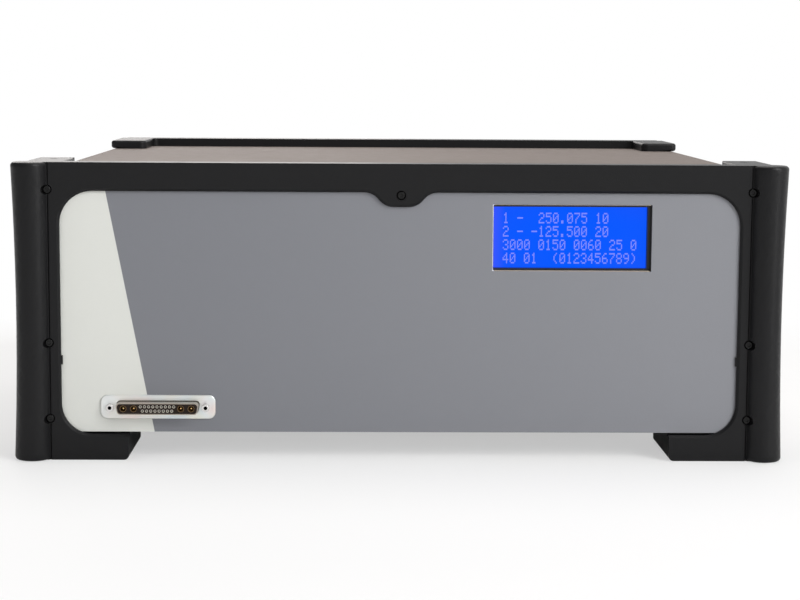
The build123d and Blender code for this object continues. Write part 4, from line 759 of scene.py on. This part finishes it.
@dataclass
class CellConnector:
    """The D connector of the cell cable, with its plate, contacts and jackscrews."""

    shop: Shop
    radius: float = 0.00075
    rim: float = 0.00095
    mouth: float = 0.0007
    bore: float = 0.00048
    bell: float = 0.0003
    depth: float = 0.004
    proud: float = 0.00062
    bore_share: float = 0.8
    # The share of the bell's depth past which the bore takes painted shade.
    shade_share: float = 0.6
    counts: tuple[int, int] = (9, 8)

    def build(self) -> None:
        """Finish the connector's pieces."""
        self.shop.soften("connector_plate", CHROMATE, 0.0002)
        self.shop.soften("cell_shell", SHELL_TIN, 0.00022)
        self.shop.soften("cell_insulator", SOCKET_BROWN, 0.00015)
        self.shop.soften("coax_sleeves", COAX_SHADED_BRASS, 0.00012)
        self.shop.soften("coax_pins", GOLD, 0.00025)
        self.shop.soften("cell_jackscrews", NICKEL_SHADED_BORES, 0.00015)
        self.contacts()

    def socket(self) -> bpy.types.Object:
        """One socket contact at the origin, facing -Y: a rim round a bell-mouthed bore."""
        piece = self.shop.drum((0, self.depth / 2, 0), self.rim, self.depth, "Y", sides=20, name="socket")
        bpy.ops.object.mode_set(mode="EDIT")
        bpy.ops.mesh.select_mode(type="FACE")
        bpy.ops.mesh.select_all(action="DESELECT")
        bpy.ops.object.mode_set(mode="OBJECT")
        for face in piece.data.polygons:
            face.select = face.normal.y < -0.9
        bpy.ops.object.mode_set(mode="EDIT")
        bpy.ops.mesh.inset(thickness=self.rim - self.mouth)
        bpy.ops.mesh.inset(thickness=self.mouth - self.bore, depth=-self.bell)
        bpy.ops.mesh.extrude_region_move(TRANSFORM_OT_translate={"value": (0, self.depth * self.bore_share, 0)})
        bpy.ops.object.mode_set(mode="OBJECT")
        bpy.ops.object.shade_smooth_by_angle(angle=radians(35))
        return piece

    def contacts(self) -> None:
        """Stand a bored socket in for each small contact, and paint shade into its well."""
        low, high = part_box("cell_contacts")
        upper, lower = self.counts
        pitch = (high[0] - low[0] - 2 * self.radius) / (upper - 1)
        middle, face = (low[0] + high[0]) / 2, low[1] - self.proud
        places = []
        for height, count in ((high[2] - self.radius, upper), (low[2] + self.radius, lower)):
            places += [(middle + (i - (count - 1) / 2) * pitch, face, height) for i in range(count)]
        rims = self.shop.join(self.shop.repeat(self.socket(), places), "cell_sockets")
        self.shop.hand_over(rims, CONTACT_RIM, Body.CASE, "gold", replaced=("cell_contacts",))
        rims.data.materials.append(self.shop.finish(CONTACT_WELL_SHADE))
        # Painted shade: faces deeper than this share of the bell take the near-black well colour.
        for side in rims.data.polygons:
            if side.center.y > face + self.bell * self.shade_share:
                side.material_index = 1


@dataclass
class Case:
    """The folded tray and cover, the rear panel and the moulded rear frame."""

    shop: Shop
    shoulder: float = 0.0019
    lug_end: float = 0.1615
    lug_under: float = 0.1966
    lug_blend: float = 0.1468
    side: float = 0.2197
    near: float = 0.0001
    reach: tuple[Point, Point] = field(default_factory=lambda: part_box("rear_frame"))

    def on_shoulder(self, first: Vector, second: Vector) -> bool:
        """Whether an edge is on the top rim of a rear lug, or on its lower rim at the outer side."""
        outer = min(abs(first.x), abs(second.x)) > self.side
        back = max(first.y, second.y)
        if max(abs(corner.z - self.reach[1][2]) for corner in (first, second)) < self.near:
            return back < (self.lug_end + self.near if outer else self.lug_blend)
        under = max(abs(corner.z - self.lug_under) for corner in (first, second)) < self.near
        return under and outer and back < self.lug_end

    def build(self) -> None:
        """Finish the case's pieces."""
        self.shop.soften("top_cover", COVER_PAINT, 0.0003)
        self.shop.soften("chassis_tray", ZINC, 0.0003)
        self.shop.soften("cover_screws", BLACK_STEEL, 0.00015)
        self.shop.soften("rear_panel", ZINC, 0.0003)
        self.shop.soften("rear_frame", BLACK_MOULDING, 0.0009, rolls=((self.on_shoulder, self.shoulder),))
        self.shop.soften("frame_screws", BLACK_STEEL, 0.0003)


@dataclass
class RearSockets:
    """Everything let into the rear panel."""

    shop: Shop

    def build(self) -> None:
        """Finish the sockets, the fan and the ground post."""
        shop = self.shop
        shop.soften("fan_frame", BLACK_SMOOTH, 0.0005)
        shop.soften("fan_rotor", BLACK_SMOOTH, 0.0003, Body.ROTOR)
        shop.soften("fan_guard", NICKEL, 0.0)
        shop.soften("fan_screws", BLACK_STEEL, 0.0003)
        shop.soften("inlet_body", BLACK_SMOOTH, 0.0004)
        shop.soften("inlet_pins", NICKEL, 0.0002)
        shop.soften("power_rocker", BLACK_SMOOTH, 0.0004, Body.ROCKER)
        shop.soften("fuse_drawer", BLACK_SMOOTH, 0.0003, Body.DRAWER)
        shop.soften("fuses", FUSE_GLASS, 0.0003, Body.DRAWER)
        shop.soften("bnc_bodies", NICKEL, 0.0003)
        shop.soften("bnc_insulators", WHITE_PLASTIC, 0.0002)
        shop.soften("bnc_contacts", GOLD, 0.0001)
        shop.dress("bnc_nuts", NICKEL)
        shop.soften("aux_shell", NICKEL, 0.00022)
        shop.soften("aux_insulator", SOCKET_BROWN, 0.0001)
        shop.soften("aux_jackscrews", NICKEL, 0.00025)
        shop.soften("usb_shell", NICKEL, 0.0002)
        shop.soften("usb_tongue", WHITE_PLASTIC, 0.0002)
        shop.soften("ground_stem", NICKEL, 0.0003)
        shop.dress("ground_locknut", NICKEL)
        shop.soften("ground_collar", NICKEL, 0.0003, Body.COLLAR)
        shop.soften("ground_nut", GREEN_PLASTIC, 0.0003, Body.NUT)


@dataclass
class Insides:
    """The boards, the supply and the power amplifier."""

    shop: Shop

    def build(self) -> None:
        """Finish the inner pieces."""
        finishes = {
            "main_board": BOARD, "supply_board": BOARD, "amplifier_board": BOARD,
            "board_standoffs": ZINC, "board_screws": ZINC, "amplifier_spacers": ZINC,
            "transformer_clamp": ZINC, "transformer_bolt": ZINC, "shield_can": NICKEL,
            "range_relays": WHITE_PLASTIC, "cell_ribbon": RIBBON_GREY, "display_ribbon": RIBBON_GREY,
            "power_transistors": BLACK_SMOOTH, "transformer_pads": RUBBER,
        }
        for name, finish in finishes.items():
            self.shop.dress(name, finish)
        self.shop.soften("heatsink", ALUMINIUM, 0.0002)
        self.shop.soften("transformer", WINDING_TAPE, 0.0)
        self.shop.soften("capacitors", CAN_SLEEVE, 0.0006)


@dataclass
class Studio:
    """The pale floor, the lamps and the camera."""

    eye: Point = (-0.026505, -1.405901, 0.258624)
    yaw: float = 0.0208089
    pitch: float = 0.1188649
    roll: float = 0.0064867
    focal: float = 1889.64 / 800 * 36
    shift: tuple[float, float] = (0.000424, -0.00387)
    near: float = 0.32
    far: float = 0.7
    lift: float = 0.5
    flag: float = 0.28
    soft_light: float = 0.5
    warm: Colour = (1.0, 0.955, 0.93)
    floor_size: float = 14.0
    floor_drop: float = 0.0002
    aim: Point = (0.0, 0.0, 0.1)

    def build(self) -> None:
        """Set the floor, the world, the lamps and the camera."""
        self.floor()
        self.world()
        self.lamp("key", (1.3, -1.6, 1.3), 1.1, 25.0)
        self.lamp("strip", (1.55, -1.3, 0.5), 0.4, 9.0, tall=1.8)
        self.lamp("fill", (-1.9, -1.3, 1.1), 1.6, 11.0, shines=False)
        self.lamp("top", (0.1, 0.5, 2.2), 1.8, 24.0, self.warm)
        self.lamp("back", (-0.6, 2.4, 1.2), 1.4, 15.0, self.warm)
        self.camera()
        bpy.context.scene.view_settings.view_transform = "Standard"

    def floor(self) -> None:
        """A wide pale floor, a hair under the feet."""
        bpy.ops.object.select_all(action="DESELECT")
        bpy.ops.mesh.primitive_plane_add(size=self.floor_size, location=(0, 0, -self.floor_drop))
        plane = bpy.context.active_object
        plane.name = "floor"
        made = Nodes("floor_paper")
        made.shader.inputs["Roughness"].default_value = 0.9
        made.shader.inputs["Specular IOR Level"].default_value = 0.1
        tint = made.between((0.90, 0.90, 0.90, 1), (0.93, 0.93, 0.93, 1), made.noise(3.0))
        made.plug(made.shader.inputs["Base Color"], tint)
        paths = made.add("ShaderNodeLightPath")
        straight = paths.outputs["Is Camera Ray"]
        seen = made.sum("MAXIMUM", straight, paths.outputs["Is Glossy Ray"])
        seen = made.sum("MAXIMUM", seen, paths.outputs["Is Transmission Ray"])
        spot = made.add("ShaderNodeVectorMath", Vector=made.place)
        spot.operation = "LENGTH"
        away = made.ramp(spot.outputs["Value"], self.near, self.far)
        white = made.add("ShaderNodeEmission", Color=(1, 1, 1, 1), Strength=1.0)
        blend = made.tree.nodes.new("ShaderNodeMixShader")
        share = made.sum("MAXIMUM", away, made.sum("MULTIPLY", straight, self.lift))
        made.plug(blend.inputs[0], made.sum("MULTIPLY", seen, share))
        made.plug(blend.inputs[1], made.shader.outputs["BSDF"])
        made.plug(blend.inputs[2], white.outputs["Emission"])
        made.plug(made.tree.nodes["Material Output"].inputs["Surface"], blend.outputs["Shader"])
        plane.data.materials.append(made.material)

    def world(self) -> None:
        """White behind the object, and a softer white that lights it."""
        world = bpy.context.scene.world or bpy.data.worlds.new("studio")
        bpy.context.scene.world = world
        world.use_nodes = True
        tree = world.node_tree
        ground = tree.nodes.get("Background") or tree.nodes.new("ShaderNodeBackground")
        ground.inputs["Color"].default_value = (1, 1, 1, 1)
        paths = tree.nodes.new("ShaderNodeLightPath")

        def merge(kind: str, first: bpy.types.NodeSocket, second: bpy.types.NodeSocket) -> bpy.types.NodeSocket:
            """Join two sockets by a Math node."""
            node = tree.nodes.new("ShaderNodeMath")
            node.operation = kind
            tree.links.new(first, node.inputs[0])
            tree.links.new(second, node.inputs[1])
            return node.outputs[0]

        seen = merge("MAXIMUM", paths.outputs["Is Camera Ray"], paths.outputs["Is Transmission Ray"])
        shown = merge("MAXIMUM", seen, paths.outputs["Is Glossy Ray"])
        level = tree.nodes.new("ShaderNodeMapRange")
        level.inputs["To Min"].default_value = self.soft_light
        tree.links.new(shown, level.inputs["Value"])
        place = tree.nodes.new("ShaderNodeTexCoord")
        axes = tree.nodes.new("ShaderNodeSeparateXYZ")
        tree.links.new(place.outputs["Generated"], axes.inputs[0])
        side = tree.nodes.new("ShaderNodeMapRange")
        for name, value in (("From Min", -0.5), ("From Max", 0.5), ("To Min", self.flag), ("To Max", 1.0)):
            side.inputs[name].default_value = value
        tree.links.new(axes.outputs["X"], side.inputs["Value"])
        lit = merge("MAXIMUM", side.outputs["Result"], seen)
        strength = merge("MULTIPLY", level.outputs["Result"], lit)
        tree.links.new(strength, ground.inputs["Strength"])
        output = tree.nodes.get("World Output") or tree.nodes.new("ShaderNodeOutputWorld")
        tree.links.new(ground.outputs["Background"], output.inputs["Surface"])

    def lamp(self, name: str, place: Point, size: float, power: float,
             tint: Colour = (1.0, 1.0, 1.0), shines: bool = True, tall: float = 0.0) -> None:
        """A soft lamp that looks at the object.

        Args:
            name: the lamp's name.
            place: where it hangs.
            size: its width.
            power: its watts.
            tint: its colour.
            shines: whether glossy surfaces show it.
            tall: its height, where it isn't square.
        """
        light = bpy.data.lights.new(name, "AREA")
        light.color = tint
        light.shape = "RECTANGLE"
        light.size = size
        light.size_y = tall or size
        light.energy = power
        lamp = bpy.data.objects.new(name, light)
        lamp.location = place
        lamp.visible_glossy = shines
        gaze = Vector(self.aim) - Vector(place)
        lamp.rotation_euler = gaze.to_track_quat("-Z", "Y").to_euler()
        bpy.context.scene.collection.objects.link(lamp)

    def camera(self) -> None:
        """A camera where the photograph was taken from."""
        ahead = Vector((sin(self.yaw) * cos(self.pitch), cos(self.yaw) * cos(self.pitch), -sin(self.pitch)))
        right = Vector((cos(self.yaw), -sin(self.yaw), 0))
        up = right.cross(ahead)
        rolled = right * cos(self.roll) + up * sin(self.roll)
        upright = up * cos(self.roll) - right * sin(self.roll)
        data = bpy.data.cameras.new("camera")
        data.sensor_width = 36
        data.lens = self.focal
        data.shift_x, data.shift_y = self.shift
        data.clip_start, data.clip_end = 0.05, 50
        camera = bpy.data.objects.new("camera", data)
        turn = Matrix((rolled, upright, -ahead)).transposed().to_4x4()
        camera.matrix_world = Matrix.Translation(self.eye) @ turn
        bpy.context.scene.collection.objects.link(camera)
        bpy.context.scene.camera = camera


def main() -> None:
    """Build the studio, then the sub-assemblies in order."""
    shop = Shop(frame["nodes"])
    Studio().build()
    for part in (Front(shop), Display(shop), CellConnector(shop), Case(shop), RearSockets(shop), Insides(shop)):
        part.build()
        LOG.info("%s done", type(part).__name__)


if __name__ == "__main__":
    logging.basicConfig(level=logging.INFO, format="%(message)s")
    main()
